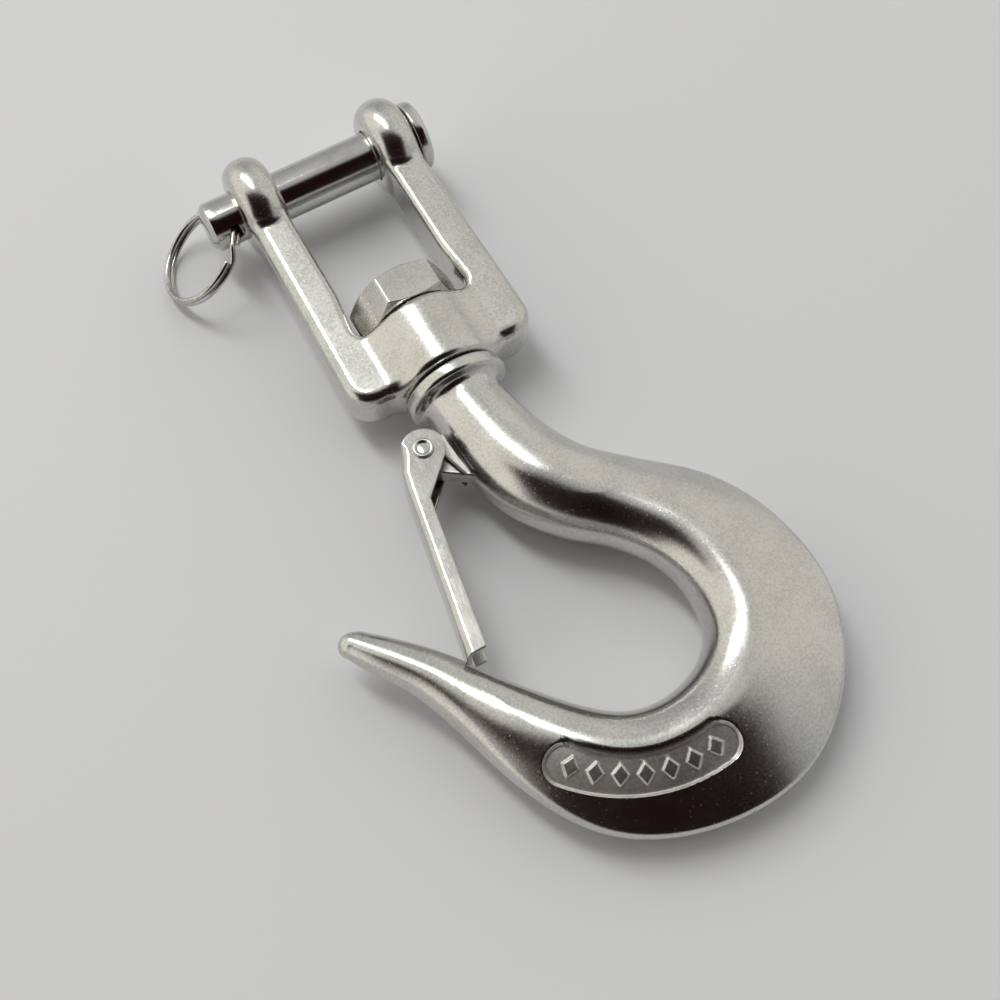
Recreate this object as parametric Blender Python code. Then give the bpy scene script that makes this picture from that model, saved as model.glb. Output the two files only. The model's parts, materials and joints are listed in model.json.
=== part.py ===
"""Swivel jaw hook with a spring latch, lying flat on the ground.

Every sub-part is built in a level design frame, in millimetres: X is the axis
of the clevis pin (head at +X), Y is the swivel axis (jaw at +Y, hook at -Y)
and Z is up, with the origin in the middle of the pin. One frame empty scales
it to metres, tips it until the jaw and the bowl of the hook both touch the
ground, and centres it over the world origin.
"""

from math import acos, atan2, cos, degrees, hypot, pi, radians, sin, sqrt

import bmesh
import bpy
from mathutils import Vector

MM = 0.001

# Driving sizes, in millimetres.
PIN_DIAMETER = 8.0
PIN_CHAMFER = 0.8
PIN_HEAD_DIAMETER = 11.4
PIN_HEAD_THICKNESS = 2.1
PIN_END_LENGTH = 5.7
CROSS_HOLE_OFFSET = 1.7
CROSS_HOLE_TURN = 19.0

JAW_GAP = 17.8
JAW_REACH = 32.0
ARM_THICKNESS = 6.0
ARM_FLARE = 0.7
YOKE_HEIGHT = 8.4
BEAM_DEPTH = 10.6
EYE_RADIUS = 8.1
EYE_INSET = 0.5
EYE_OUTSET = 0.4
BOSS_RADIUS = 8.3
BOSS_PROUD = 0.7

SHANK_DIAMETER = 9.0
NUT_ACROSS_FLATS = 15.1
NUT_HEIGHT = 6.0
NUT_TURN = 54.4
NUT_CHAMFER_SLOPE = 0.58
COLLAR_RADIUS = 8.2
COLLAR_THICKNESS = 2.3

PIVOT_X = -9.75
PIVOT_DROP = 6.6
RIVET_DIAMETER = 2.5
RIVET_HEAD_DIAMETER = 3.5
RIVET_HEAD_HEIGHT = 0.45
LUG_RADIUS = 2.45
LUG_THICKNESS = 3.0
LATCH_SHEET = 0.8
LATCH_HEAD_RADIUS = 3.3
SPRING_WIRE = 0.6
SPRING_RADIUS = 1.95
SPRING_TURNS = 1.41

RING_WIRE = 0.9
RING_RADIUS = 8.0

# Clearances, in millimetres.
TURNING_GAP = 0.2
FACE_GAP = 0.3
COIL_GAP = 0.06
SPRING_GAP = 0.12
CORNER_GAP = 0.9
COLLAR_GAP = 0.5
GROUND_GAP = 0.02

# Facets round a full turn.
FACETS = 40
WIRE_FACETS = 8

# Ribs across the hook from its inner to its outer edge: inner point, outer
# point, radius of the inner bead, radius of the outer rim. Points are measured
# from the swivel axis and the foot of the collar. A rib whose radii both equal
# half its width is round.
RIBS = (
    ((-6.05, -2.3), (6.1, -2.3), 6.10, 6.10),
    ((-5.9, -5.9), (6.8, -5.2), 6.35, 6.35),
    ((-5.6, -9.9), (7.5, -7.9), 6.60, 6.60),
    ((-4.9, -14.9), (8.3, -10.5), 6.95, 6.95),
    ((-3.2, -19.9), (9.5, -13.2), 7.15, 7.15),
    ((-0.4, -24.3), (11.0, -15.8), 7.10, 7.10),
    ((2.9, -28.0), (12.8, -18.0), 6.95, 6.60),
    ((6.2, -30.8), (15.4, -20.3), 6.80, 5.40),
    ((9.0, -33.9), (19.4, -23.7), 6.60, 3.60),
    ((11.2, -37.5), (24.6, -28.5), 6.45, 2.20),
    ((12.4, -41.5), (28.9, -35.3), 6.35, 1.60),
    ((12.5, -45.5), (31.1, -43.1), 6.30, 1.50),
    ((11.5, -49.1), (31.2, -51.5), 6.30, 1.50),
    ((9.0, -51.9), (28.0, -60.1), 6.30, 1.50),
    ((5.4, -53.7), (21.3, -67.9), 6.30, 1.50),
    ((1.2, -54.4), (11.7, -72.8), 6.30, 1.50),
    ((-2.4, -53.9), (0.6, -73.0), 6.20, 1.50),
    ((-5.4, -52.5), (-8.6, -70.2), 6.00, 1.55),
    ((-8.4, -50.0), (-15.6, -65.1), 5.70, 1.70),
    ((-11.5, -46.7), (-20.4, -57.6), 5.25, 2.20),
    ((-14.5, -43.1), (-23.2, -50.3), 4.75, 3.20),
    ((-17.5, -39.3), (-25.3, -43.5), 4.20, 3.90),
    ((-20.4, -35.2), (-27.5, -37.9), 3.75, 3.70),
    ((-23.6, -31.5), (-29.8, -33.9), 3.30, 3.25),
    ((-26.6, -28.5), (-31.9, -30.7), 2.85, 2.80),
    ((-29.3, -26.1), (-33.6, -27.8), 2.35, 2.30),
)
RIB_STEPS = 3
BEAD_FACETS = 16
RIM_FACETS = 8
RIM_EDGE = 50.0
ROUND_EDGE = 65.0
FLANK_SWELL = 0.35
TIP_STEPS = 5

# Recessed panel on the flank of the bowl: an arc with round ends, and a row
# of raised lozenges on its floor.
PANEL_X = 1.6
PANEL_DROP = 42.1
PANEL_RADIUS = 21.9
PANEL_WIDTH = 5.6
PANEL_START = 219.5
PANEL_END = 276.5
PANEL_DEPTH = 0.7
LOZENGE_COUNT = 7
LOZENGE_LENGTH = 2.1
LOZENGE_WIDTH = 2.6
LOZENGE_HEIGHT = 0.35

# Derived sizes, in millimetres.
HALF_GAP = JAW_GAP / 2
ARM_OUTER = HALF_GAP + ARM_THICKNESS
EYE_OUTER = ARM_OUTER + EYE_OUTSET
EYE_INNER = HALF_GAP - EYE_INSET
PIN_HEAD_FACE = EYE_OUTER + FACE_GAP
PIN_END = -(EYE_OUTER + PIN_END_LENGTH)
CROSS_HOLE_X = -(EYE_OUTER + CROSS_HOLE_OFFSET)
BEAM_BOTTOM = -(JAW_REACH + BEAM_DEPTH)
BOSS_TOP = -JAW_REACH + 0.3
BOSS_BOTTOM = BEAM_BOTTOM - BOSS_PROUD
COLLAR_TOP = BOSS_BOTTOM - COLLAR_GAP
COLLAR_BOTTOM = COLLAR_TOP - COLLAR_THICKNESS
NUT_CORNER = NUT_ACROSS_FLATS / sqrt(3)
NUT_BOTTOM = BOSS_TOP + FACE_GAP
NUT_TOP = NUT_BOTTOM + NUT_HEIGHT
# The window of the jaw is wider beside the nut where its corners need room.
NUT_RELIEF = max(0.0, round(NUT_CORNER + CORNER_GAP - HALF_GAP, 1))
# The ring bends inside the straight cross hole, so the hole takes its sagitta.
RING_BEND = RING_RADIUS - sqrt(RING_RADIUS**2 - (PIN_DIAMETER / 2) ** 2)
RING_ROOM = hypot((RING_WIRE + COIL_GAP) / 2, RING_BEND / 2) + RING_WIRE / 2
CROSS_HOLE_DIAMETER = round(2 * (RING_ROOM + TURNING_GAP), 1)
PIVOT_Y = COLLAR_BOTTOM - PIVOT_DROP
PIVOT = (PIVOT_X, PIVOT_Y)
PANEL_CENTRE = (PANEL_X, COLLAR_BOTTOM - PANEL_DROP)
# The cheeks of the latch clear the lug with the coils of the spring between.
SPRING_STACK = SPRING_TURNS * (SPRING_WIRE + SPRING_GAP) + SPRING_WIRE + 0.18
LATCH_WIDTH = round(LUG_THICKNESS + 2 * (SPRING_STACK + LATCH_SHEET), 1)
CHEEK_OUTER = LATCH_WIDTH / 2
CHEEK_INNER = CHEEK_OUTER - LATCH_SHEET
RIVET_END = CHEEK_OUTER + 0.05 + RIVET_HEAD_HEIGHT


def polar(radius, angle, centre=(0.0, 0.0)):
    """Point at a radius and an angle in degrees from a centre."""
    return (
        centre[0] + radius * cos(radians(angle)),
        centre[1] + radius * sin(radians(angle)),
    )


def arc(centre, radius, start, end, steps):
    """Points along an arc, both ends included."""
    return [polar(radius, start + (end - start) * i / steps, centre) for i in range(steps + 1)]


def blend(a, b, t):
    """Linear mix of two equal-length tuples."""
    return tuple(p + (q - p) * t for p, q in zip(a, b))


def from_pivot(points):
    """Points in plan given from the axis that the latch turns on."""
    return [(PIVOT_X + x, PIVOT_Y + y) for x, y in points]


def circle(centre, side, other, radius, facets):
    """Ring of points round a centre in the plane of two unit vectors."""
    turns = [2 * pi * k / facets for k in range(facets)]
    return [centre + radius * (side * cos(t) + other * sin(t)) for t in turns]


def add_object(name, bm):
    """Turns a bmesh into an object that faces out."""
    bmesh.ops.remove_doubles(bm, verts=bm.verts, dist=1e-4)
    bmesh.ops.recalc_face_normals(bm, faces=bm.faces)
    mesh = bpy.data.meshes.new(name)
    bm.to_mesh(mesh)
    bm.free()
    obj = bpy.data.objects.new(name, mesh)
    bpy.context.scene.collection.objects.link(obj)
    return obj


def loft(name, rings):
    """Skin through rings of equal length, capped at both ends."""
    bm = bmesh.new()
    loops = [[bm.verts.new(p) for p in ring] for ring in rings]
    count = len(loops[0])
    for a, b in zip(loops, loops[1:]):
        for i in range(count):
            j = (i + 1) % count
            bm.faces.new((a[i], a[j], b[j], b[i]))
    bm.faces.new(loops[0][::-1])
    bm.faces.new(loops[-1])
    return add_object(name, bm)


def revolve(name, profile, axis, facets=FACETS):
    """Solid of revolution about X or Y from (station, radius) points.

    The end points lie on the axis, or the profile is a closed loop off it.
    """
    bm = bmesh.new()
    rings = []
    for station, radius in profile:
        if radius < 1e-6:
            point = (station, 0, 0) if axis == "X" else (0, station, 0)
            rings.append([bm.verts.new(point)])
            continue
        ring = []
        for i in range(facets):
            u, v = polar(radius, 360.0 * i / facets)
            ring.append(bm.verts.new((station, u, v) if axis == "X" else (u, station, v)))
        rings.append(ring)
    pairs = list(zip(rings, rings[1:]))
    if len(rings[0]) > 1:
        pairs.append((rings[-1], rings[0]))
    for a, b in pairs:
        for i in range(facets):
            j = (i + 1) % facets
            corners = [a[i % len(a)], a[j % len(a)], b[j % len(b)], b[i % len(b)]]
            unique = [v for k, v in enumerate(corners) if v not in corners[:k]]
            bm.faces.new(unique)
    return add_object(name, bm)


def edge_roll(depth, steps):
    """Inset and drop pairs that round an edge from its face to its side."""
    turns = [pi / 2 * i / steps for i in range(steps + 1)]
    return [(depth * (1 - sin(t)), depth * (1 - cos(t))) for t in turns]


def outward_normals(points):
    """Mitred normals that point out of an anticlockwise outline."""
    normals = []
    for i, here in enumerate(points):
        before, after = points[i - 1], points[(i + 1) % len(points)]
        a = Vector((here[1] - before[1], before[0] - here[0])).normalized()
        b = Vector((after[1] - here[1], here[0] - after[0])).normalized()
        mean = (a + b).normalized()
        normals.append(mean / max(0.5, mean.dot(a)))
    return normals


def prism(name, points, low, high, rolls=None, steps=3):
    """Plate between two heights, each outline point's edges rolled by its own depth."""
    normals = outward_normals(points)
    rolls = rolls or [0.0] * len(points)
    half = []
    for i in range(steps + 1 if max(rolls) > 0 else 1):
        offsets = [edge_roll(roll, steps)[i] for roll in rolls]
        half.append([
            (p[0] - n.x * inset, p[1] - n.y * inset, drop)
            for p, n, (inset, drop) in zip(points, normals, offsets)
        ])
    rings = [[(x, y, low + drop) for x, y, drop in ring] for ring in half]
    rings += [[(x, y, high - drop) for x, y, drop in ring] for ring in half[::-1]]
    return loft(name, rings)


def tube(name, path, radius):
    """Round wire along a path of points, with flat ends."""
    points = [Vector(p) for p in path]
    tangents = []
    for i in range(len(points)):
        ahead, behind = points[min(i + 1, len(points) - 1)], points[max(i - 1, 0)]
        tangents.append((ahead - behind).normalized())
    side = tangents[0].orthogonal().normalized()
    rings = []
    for point, tangent in zip(points, tangents):
        side = (side - tangent * side.dot(tangent)).normalized()
        rings.append(circle(point, side, tangent.cross(side), radius, WIRE_FACETS))
    return loft(name, rings)


def boolean(target, tool, operation):
    """Applies an exact Boolean to the target and removes the tool."""
    modifier = target.modifiers.new(operation.title(), "BOOLEAN")
    modifier.operation = operation
    modifier.solver = "EXACT"
    modifier.object = tool
    graph = bpy.context.evaluated_depsgraph_get()
    graph.update()
    mesh = bpy.data.meshes.new_from_object(target.evaluated_get(graph))
    target.modifiers.clear()
    used = target.data
    target.data = mesh
    target.data.name = target.name
    bpy.data.meshes.remove(used)
    bpy.data.objects.remove(tool)


def cylinder(name, start, end, radius, facets=24):
    """Plain cylinder from one point to another."""
    axis = (Vector(end) - Vector(start)).normalized()
    side = axis.orthogonal().normalized()
    other = axis.cross(side)
    return loft(name, [circle(Vector(p), side, other, radius, facets) for p in (start, end)])


def finish(obj, parent, colour, roughness, crease=32.0, origin=(0.0, 0.0, 0.0)):
    """Moves the origin, parents to the frame, shades and gives the piece its metal."""
    shift = Vector(origin)
    for vertex in obj.data.vertices:
        vertex.co -= shift
    obj.location = shift
    obj.parent = parent
    obj.data.polygons.foreach_set("use_smooth", [True] * len(obj.data.polygons))
    obj.data.set_sharp_from_angle(angle=radians(crease))
    material = bpy.data.materials.new(obj.name)
    material.use_nodes = True
    shader = material.node_tree.nodes["Principled BSDF"]
    shader.inputs["Base Color"].default_value = (*colour, 1.0)
    shader.inputs["Roughness"].default_value = roughness
    shader.inputs["Metallic"].default_value = 1.0
    obj.data.materials.clear()
    obj.data.materials.append(material)
    return obj


def drill(axis, start, end, radius):
    """Cutter for a plain bore along X or Y."""
    return revolve("drill", [(start, 0), (start, radius), (end, radius), (end, 0)], axis)


def yoke_outline():
    """Anticlockwise U of the jaw, with the depth of each point's rolled edge."""
    corner, root, relief_lead = 4.4, 2.2, 2.0
    outer_low = ARM_OUTER + ARM_FLARE
    right = arc((outer_low - corner, BEAM_BOTTOM + corner), corner, 270, 360, 6)
    left = arc((-outer_low + corner, BEAM_BOTTOM + corner), corner, 180, 270, 6)
    outer = left + right + [(ARM_OUTER, 3.0)]
    middle, relief = HALF_GAP + NUT_RELIEF - root, NUT_TOP + relief_lead
    window_right = arc((middle, -JAW_REACH + root), root, 360, 270, 3)
    window_left = arc((-middle, -JAW_REACH + root), root, 270, 180, 3)
    inner = [(HALF_GAP, 3.0), (HALF_GAP, relief)] + window_right
    inner += window_left + [(-HALF_GAP, relief), (-HALF_GAP, 3.0)]
    points = outer + inner + [(-ARM_OUTER, 3.0)]
    rolls = [2.0] * len(outer) + [0.7] * len(inner) + [2.0]
    return points, rolls


def eye(name, side):
    """Solid barrel round the pin on one side of the jaw."""
    middle, half = (EYE_INNER + EYE_OUTER) / 2, (EYE_OUTER - EYE_INNER) / 2
    flat = PIN_DIAMETER / 2 + 1.3
    round_over = [
        (side * (middle - half * cos(pi * i / 8)), flat + (EYE_RADIUS - flat) * sin(pi * i / 8))
        for i in range(9)
    ]
    profile = [(side * EYE_INNER, 0.0)] + round_over + [(side * EYE_OUTER, 0.0)]
    return revolve(name, profile, "X")


def build_yoke():
    """Jaw with two eyes, a cross beam and the swivel boss, cast in one piece."""
    points, rolls = yoke_outline()
    yoke = prism("clevis_yoke", points, -YOKE_HEIGHT / 2, YOKE_HEIGHT / 2, rolls)
    for side in (-1, 1):
        boolean(yoke, eye("eye", side), "UNION")
    top, low = 0.8, 1.3
    profile = [(BOSS_TOP, 0.0)]
    profile += [(BOSS_TOP - drop, BOSS_RADIUS - inset) for inset, drop in edge_roll(top, 3)]
    profile += [(BOSS_BOTTOM + drop, BOSS_RADIUS - inset) for inset, drop in edge_roll(low, 3)[::-1]]
    profile += [(BOSS_BOTTOM, 0.0)]
    boolean(yoke, revolve("boss", profile, "Y"), "UNION")
    reach = EYE_OUTER + 2
    boolean(yoke, drill("X", -reach, reach, PIN_DIAMETER / 2 + TURNING_GAP), "DIFFERENCE")
    radius = SHANK_DIAMETER / 2 + TURNING_GAP
    boolean(yoke, drill("Y", BOSS_TOP + 2, BOSS_BOTTOM - 2, radius), "DIFFERENCE")
    return yoke


def cross_hole_axis():
    """Unit vector along the cross hole of the pin, towards the hook."""
    turn = radians(CROSS_HOLE_TURN)
    return Vector((0.0, -cos(turn), sin(turn)))


def build_pin():
    """Clevis pin with a flat head and a chamfered, cross-drilled end."""
    radius, head = PIN_DIAMETER / 2, PIN_HEAD_DIAMETER / 2
    outer = PIN_HEAD_FACE + PIN_HEAD_THICKNESS
    profile = [(PIN_END, 0.0), (PIN_END, radius - PIN_CHAMFER), (PIN_END + PIN_CHAMFER, radius)]
    profile += [(PIN_HEAD_FACE, radius), (PIN_HEAD_FACE, head - 0.4), (PIN_HEAD_FACE + 0.4, head)]
    profile += [(outer - drop, head - inset) for inset, drop in edge_roll(0.9, 3)[::-1]]
    profile += [(outer, 0.0)]
    pin = revolve("clevis_pin", profile, "X")
    middle, axis = Vector((CROSS_HOLE_X, 0, 0)), cross_hole_axis()
    ends = middle - axis * PIN_DIAMETER, middle + axis * PIN_DIAMETER
    boolean(pin, cylinder("cross_hole", *ends, CROSS_HOLE_DIAMETER / 2), "DIFFERENCE")
    return pin


def ring_frame(droop):
    """Centre, cross-hole axis, outward axis and normal of the ring at a droop angle."""
    axis = cross_hole_axis()
    up = Vector((0.0, -axis.z, axis.y))
    outward = Vector((-cos(droop), 0.0, 0.0)) + sin(droop) * up
    reach = RING_RADIUS - RING_BEND / 2
    centre = Vector((CROSS_HOLE_X, 0, 0)) + outward * reach
    return centre, axis, outward, axis.cross(outward)


def ring_path(droop):
    """Centreline of the split ring: two flat turns and one short crossing."""
    centre, axis, outward, normal = ring_frame(droop)
    half = (RING_WIRE + COIL_GAP) / 2
    start, last, cross_start, cross_end = -24.0, 694.0, 336.0, 358.0
    path = []
    steps = 118
    for i in range(steps + 1):
        turned = last * i / steps
        t = min(1.0, max(0.0, (turned - cross_start) / (cross_end - cross_start)))
        lift = half * (2 * t * t * (3 - 2 * t) - 1)
        u, v = polar(RING_RADIUS, start + turned)
        path.append(centre + axis * u + outward * v + normal * lift)
    return path


def section(width, bead, rim):
    """Wedge outline across the hook: a round bead, two flanks and a round rim.

    Points run from the rim over the top to the bead and back along the
    bottom, as distance from the inner edge and height.
    """
    roundness = min(1.0, max(0.0, (rim / bead - 0.3) / 0.6))
    edge = RIM_EDGE + (ROUND_EDGE - RIM_EDGE) * roundness
    rim_arc = arc((width - rim, 0.0), rim, -edge, edge, RIM_FACETS)
    u, v = rim_arc[-1][0] - bead, rim_arc[-1][1]
    tangent = degrees(atan2(v, u) + acos(min(1.0, bead / max(hypot(u, v), bead))))
    touch = tangent + (180 - ROUND_EDGE - tangent) * roundness
    bead_arc = arc((bead, 0.0), bead, touch, 360 - touch, BEAD_FACETS)
    full = bead * (1 - sin(radians(ROUND_EDGE)))
    swell = FLANK_SWELL + (full - FLANK_SWELL) * roundness
    flank = []
    for s in (0.33, 0.67):
        p, q = blend(rim_arc[-1], bead_arc[0], s)
        flank.append((p, q + 4 * swell * s * (1 - s)))
    return rim_arc + flank + bead_arc + [(p, -q) for p, q in flank[::-1]]


def spline(values, i, t):
    """Catmull-Rom value between entries i and i + 1 of a list of tuples."""
    last = len(values) - 1
    a, b = values[max(i - 1, 0)], values[i]
    c, d = values[min(i + 1, last)], values[min(i + 2, last)]
    return tuple(
        q + 0.5 * t * (r - p + t * (2 * p - 5 * q + 4 * r - s + t * (3 * (q - r) + s - p)))
        for p, q, r, s in zip(a, b, c, d)
    )


def rib_ring(inner, outer, bead, rim):
    """Section points in space between an inner and an outer edge point."""
    a, b = Vector((*inner, 0.0)), Vector((*outer, 0.0))
    across = (b - a).normalized()
    return [a + across * u + Vector((0, 0, v)) for u, v in section((b - a).length, bead, rim)]


def hook_rings():
    """Rings of the neck, bowl and tip, from the collar to the point."""
    foot = COLLAR_BOTTOM
    flat = [(a, foot + b, c, foot + d, bead, rim) for (a, b), (c, d), bead, rim in RIBS]
    ribs = []
    for i in range(len(flat) - 1):
        ribs += [spline(flat, i, k / RIB_STEPS) for k in range(RIB_STEPS)]
    ribs.append(flat[-1])
    rings = [rib_ring(rib[0:2], rib[2:4], rib[4], rib[5]) for rib in ribs]
    end, before = rings[-1], rings[-2]
    middle = sum(end, Vector()) / len(end)
    ahead = (middle - sum(before, Vector()) / len(before)).normalized()
    reach = RIBS[-1][2]
    for i in range(1, TIP_STEPS):
        turn = pi / 2 * i / TIP_STEPS
        rings.append([middle + (p - middle) * cos(turn) + ahead * reach * sin(turn) for p in end])
    return rings


def shank_profile():
    """Half profile of the swivel shank, its collar and the fillet into the neck."""
    radius, peen, end = SHANK_DIAMETER / 2, 0.6, COLLAR_BOTTOM + RIBS[1][0][1]
    profile = [(NUT_TOP + 0.3, 0.0), (NUT_TOP + 0.3, radius - peen), (NUT_TOP + 0.3 - peen, radius)]
    profile += [(COLLAR_TOP, radius)]
    profile += [(COLLAR_TOP - drop, COLLAR_RADIUS - inset) for inset, drop in edge_roll(0.6, 2)]
    profile += [(COLLAR_BOTTOM + drop, COLLAR_RADIUS - inset) for inset, drop in edge_roll(0.7, 2)[::-1]]
    neck = RIBS[0][2] - 0.15
    fillet = COLLAR_RADIUS - 0.7 - neck
    for i in range(1, 5):
        turn = pi / 2 * i / 4
        profile.append((COLLAR_BOTTOM - fillet * (1 - cos(turn)), neck + fillet * (1 - sin(turn))))
    return profile + [(end, neck), (end, 0.0)]


def height_on(obj, x, y):
    """Height of the upper surface of an object at a point in plan."""
    return obj.ray_cast(Vector((x, y, 50.0)), Vector((0.0, 0.0, -1.0)))[1].z


def panel_cutter(hook):
    """Curved slot with round ends whose floor runs parallel to the flank."""
    half, margin = PANEL_WIDTH / 2, 0.985
    cap = [-half * margin * cos(pi / 2 * i / 4) for i in range(4)]
    length = radians(PANEL_END - PANEL_START) * PANEL_RADIUS
    runs = cap + [length * i / 14 for i in range(15)] + [length - d for d in cap[::-1]]
    rings = []
    for run in runs:
        beyond = max(0.0, -run, run - length)
        reach = sqrt(half**2 - beyond**2)
        angle = PANEL_START + degrees(run / PANEL_RADIUS)
        floor = []
        for k in range(5):
            x, y = polar(PANEL_RADIUS + reach * (k / 2 - 1), angle, PANEL_CENTRE)
            floor.append((x, y, height_on(hook, x, y) - PANEL_DEPTH))
        rings.append(floor + [(*floor[-1][:2], 9.0), (*floor[0][:2], 9.0)])
    return loft("panel", rings)


def panel_lozenges(hook):
    """Plain raised lozenges spaced along the floor of the panel."""
    pieces = []
    for i in range(LOZENGE_COUNT):
        angle = PANEL_START + (PANEL_END - PANEL_START) * (i + 0.25) / (LOZENGE_COUNT - 0.5)
        turn = degrees(LOZENGE_LENGTH / 2 / PANEL_RADIUS)
        corners = [
            polar(PANEL_RADIUS, angle - turn, PANEL_CENTRE),
            polar(PANEL_RADIUS + LOZENGE_WIDTH / 2, angle, PANEL_CENTRE),
            polar(PANEL_RADIUS, angle + turn, PANEL_CENTRE),
            polar(PANEL_RADIUS - LOZENGE_WIDTH / 2, angle, PANEL_CENTRE),
        ]
        floor = [height_on(hook, *corner) - PANEL_DEPTH for corner in corners]
        low = [(*corner, z - 0.3) for corner, z in zip(corners, floor)]
        high = [(*corner, z + LOZENGE_HEIGHT) for corner, z in zip(corners, floor)]
        pieces.append(loft("lozenge", [low, high]))
    return pieces


def build_hook():
    """Forged hook: shank, collar, neck, bowl, tip and the lug of the latch."""
    hook = loft("hook_body", hook_rings())
    boolean(hook, revolve("shank", shank_profile(), "Y"), "UNION")
    root = -3.0
    outline = [(root, PIVOT_Y - 7.8), (root, PIVOT_Y + 2.0)] + arc(PIVOT, LUG_RADIUS, 113, 237, 10)
    lug = prism("lug", outline, -LUG_THICKNESS / 2, LUG_THICKNESS / 2, [0.3] * len(outline), 2)
    boolean(hook, lug, "UNION")
    hole = RIVET_DIAMETER / 2 + TURNING_GAP
    ends = (*PIVOT, -LUG_THICKNESS), (*PIVOT, LUG_THICKNESS)
    boolean(hook, cylinder("rivet_hole", *ends, hole), "DIFFERENCE")
    cutter, lozenges = panel_cutter(hook), panel_lozenges(hook)
    boolean(hook, cutter, "DIFFERENCE")
    for lozenge in lozenges:
        boolean(hook, lozenge, "UNION")
    return hook


def build_nut():
    """Hexagon nut chamfered at both ends, bored for the shank."""
    hexagon = [polar(NUT_CORNER, NUT_TURN + 60 * k) for k in range(6)]
    nut = loft("swivel_nut", [[(x, y, z) for x, z in hexagon] for y in (NUT_BOTTOM, NUT_TOP)])
    face = NUT_ACROSS_FLATS / 2 - 0.15
    reach = NUT_CORNER + 0.5
    drop = (reach - face) * NUT_CHAMFER_SLOPE
    cone = [(NUT_BOTTOM, 0.0), (NUT_BOTTOM, face), (NUT_BOTTOM + drop, reach)]
    cone += [(NUT_TOP - drop, reach), (NUT_TOP, face), (NUT_TOP, 0.0)]
    boolean(nut, revolve("chamfer", cone, "Y"), "INTERSECT")
    bore = SHANK_DIAMETER / 2 + TURNING_GAP / 2
    boolean(nut, drill("Y", NUT_TOP + 2, NUT_BOTTOM - 2, bore), "DIFFERENCE")
    return nut


def latch_sides():
    """Left edge, foot and right edge of a latch cheek, anticlockwise from the head."""
    left = [(-3.25, 0.5), (-4.5, -1.9), (-5.1, -4.7), (-9.45, -29.5)]
    foot = [(-8.95, -30.3), (-8.45, -30.5)]
    right = [(-6.45, -30.5), (-2.7, -7.3)]
    return from_pivot(left), from_pivot(foot), from_pivot(right)


def build_latch():
    """Sheet channel: two cheeks with round heads and a web on the outer side."""
    left, foot, right = latch_sides()
    head = arc(PIVOT, LATCH_HEAD_RADIUS, -46, 170, 14)
    outline = head + left + foot + right
    latch = prism("latch", outline, -CHEEK_OUTER, CHEEK_OUTER, [0.35] * len(outline), 2)
    normals = outward_normals(outline)[len(head):len(head) + len(left)]
    wall = [(p[0] - n.x * LATCH_SHEET, p[1] - n.y * LATCH_SHEET) for p, n in zip(left, normals)]
    open_side, above, below = 4.0, PIVOT_Y + 13.0, PIVOT_Y - 38.0
    top, low = (wall[0][0] + 1.2, above), (wall[-1][0] - 0.4, below)
    channel = [(open_side, above), top, *wall, low, (open_side, below)]
    cut = prism("channel", channel, -CHEEK_INNER, CHEEK_INNER)
    boolean(latch, cut, "DIFFERENCE")
    ends = (*PIVOT, -CHEEK_INNER), (*PIVOT, CHEEK_INNER)
    boolean(latch, cylinder("lug_room", *ends, LUG_RADIUS + FACE_GAP, 32), "DIFFERENCE")
    hole = RIVET_DIAMETER / 2 + TURNING_GAP / 2
    ends = (*PIVOT, -LATCH_WIDTH), (*PIVOT, LATCH_WIDTH)
    boolean(latch, cylinder("rivet_hole", *ends, hole), "DIFFERENCE")
    return latch


def build_rivet():
    """Tubular rivet with rolled heads outside the cheeks and a recess in each end."""
    radius, head = RIVET_DIAMETER / 2, RIVET_HEAD_DIAMETER / 2
    under, end = CHEEK_OUTER + 0.05, RIVET_END
    half = [(0.0, radius), (under, radius), (under, head), (end - 0.2, head), (end, head - 0.35)]
    half += [(end - 0.05, radius - 0.25), (end - 0.7, radius - 0.4), (end - 0.7, 0.0)]
    profile = [(-z, r) for z, r in half[:0:-1]] + half[1:]
    rivet = revolve("latch_rivet", profile, "X", facets=24)
    for vertex in rivet.data.vertices:
        x, y, z = vertex.co
        vertex.co = (PIVOT_X + z, PIVOT_Y + y, x)
    rivet.data.flip_normals()
    return rivet


def half_spring():
    """One side of the spring: free arm, coil, and the leg down to the crossbar."""
    pivot = Vector(PIVOT)
    free, bar = (Vector(p) for p in from_pivot([(3.8, -5.7), (-4.2, -7.9)]))
    wire = SPRING_WIRE / 2
    low = LUG_THICKNESS / 2 + wire + 0.08
    rise = CHEEK_INNER - wire - 0.1 - low
    turns = []
    for point, sign in ((free, 1), (bar, -1)):
        offset = point - pivot
        turns.append(degrees(atan2(offset.y, offset.x) + sign * acos(SPRING_RADIUS / offset.length)))
    start, end = turns[0], turns[1] + 720
    path = [(*free, low)]
    steps = 26
    for i in range(steps + 1):
        x, y = polar(SPRING_RADIUS, start + (end - start) * i / steps, PIVOT)
        path.append((x, y, low + rise * i / steps))
    corner = 0.6
    path.append((*(bar + (pivot - bar).normalized() * corner), low + rise))
    path.append((*bar, low + rise - corner))
    return path


def build_spring():
    """Double torsion spring: a coil on each side of the lug and a crossbar between."""
    path = half_spring()
    mirrored = [(x, y, -z) for x, y, z in path[::-1]]
    return tube("latch_spring", path + mirrored, SPRING_WIRE / 2)


def build_ring(droop):
    """Split ring through the cross hole of the pin."""
    return tube("split_ring", ring_path(droop), RING_WIRE / 2)


def lowest(points, tilt):
    """Lowest height of design points once the frame is tipped."""
    return min(p[1] * sin(tilt) + p[2] * cos(tilt) for p in points)


def solve(difference, low, high):
    """Root of an increasing function between two bounds, by halving."""
    for _ in range(40):
        middle = (low + high) / 2
        if difference(middle) < 0:
            low = middle
        else:
            high = middle
    return (low + high) / 2


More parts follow.
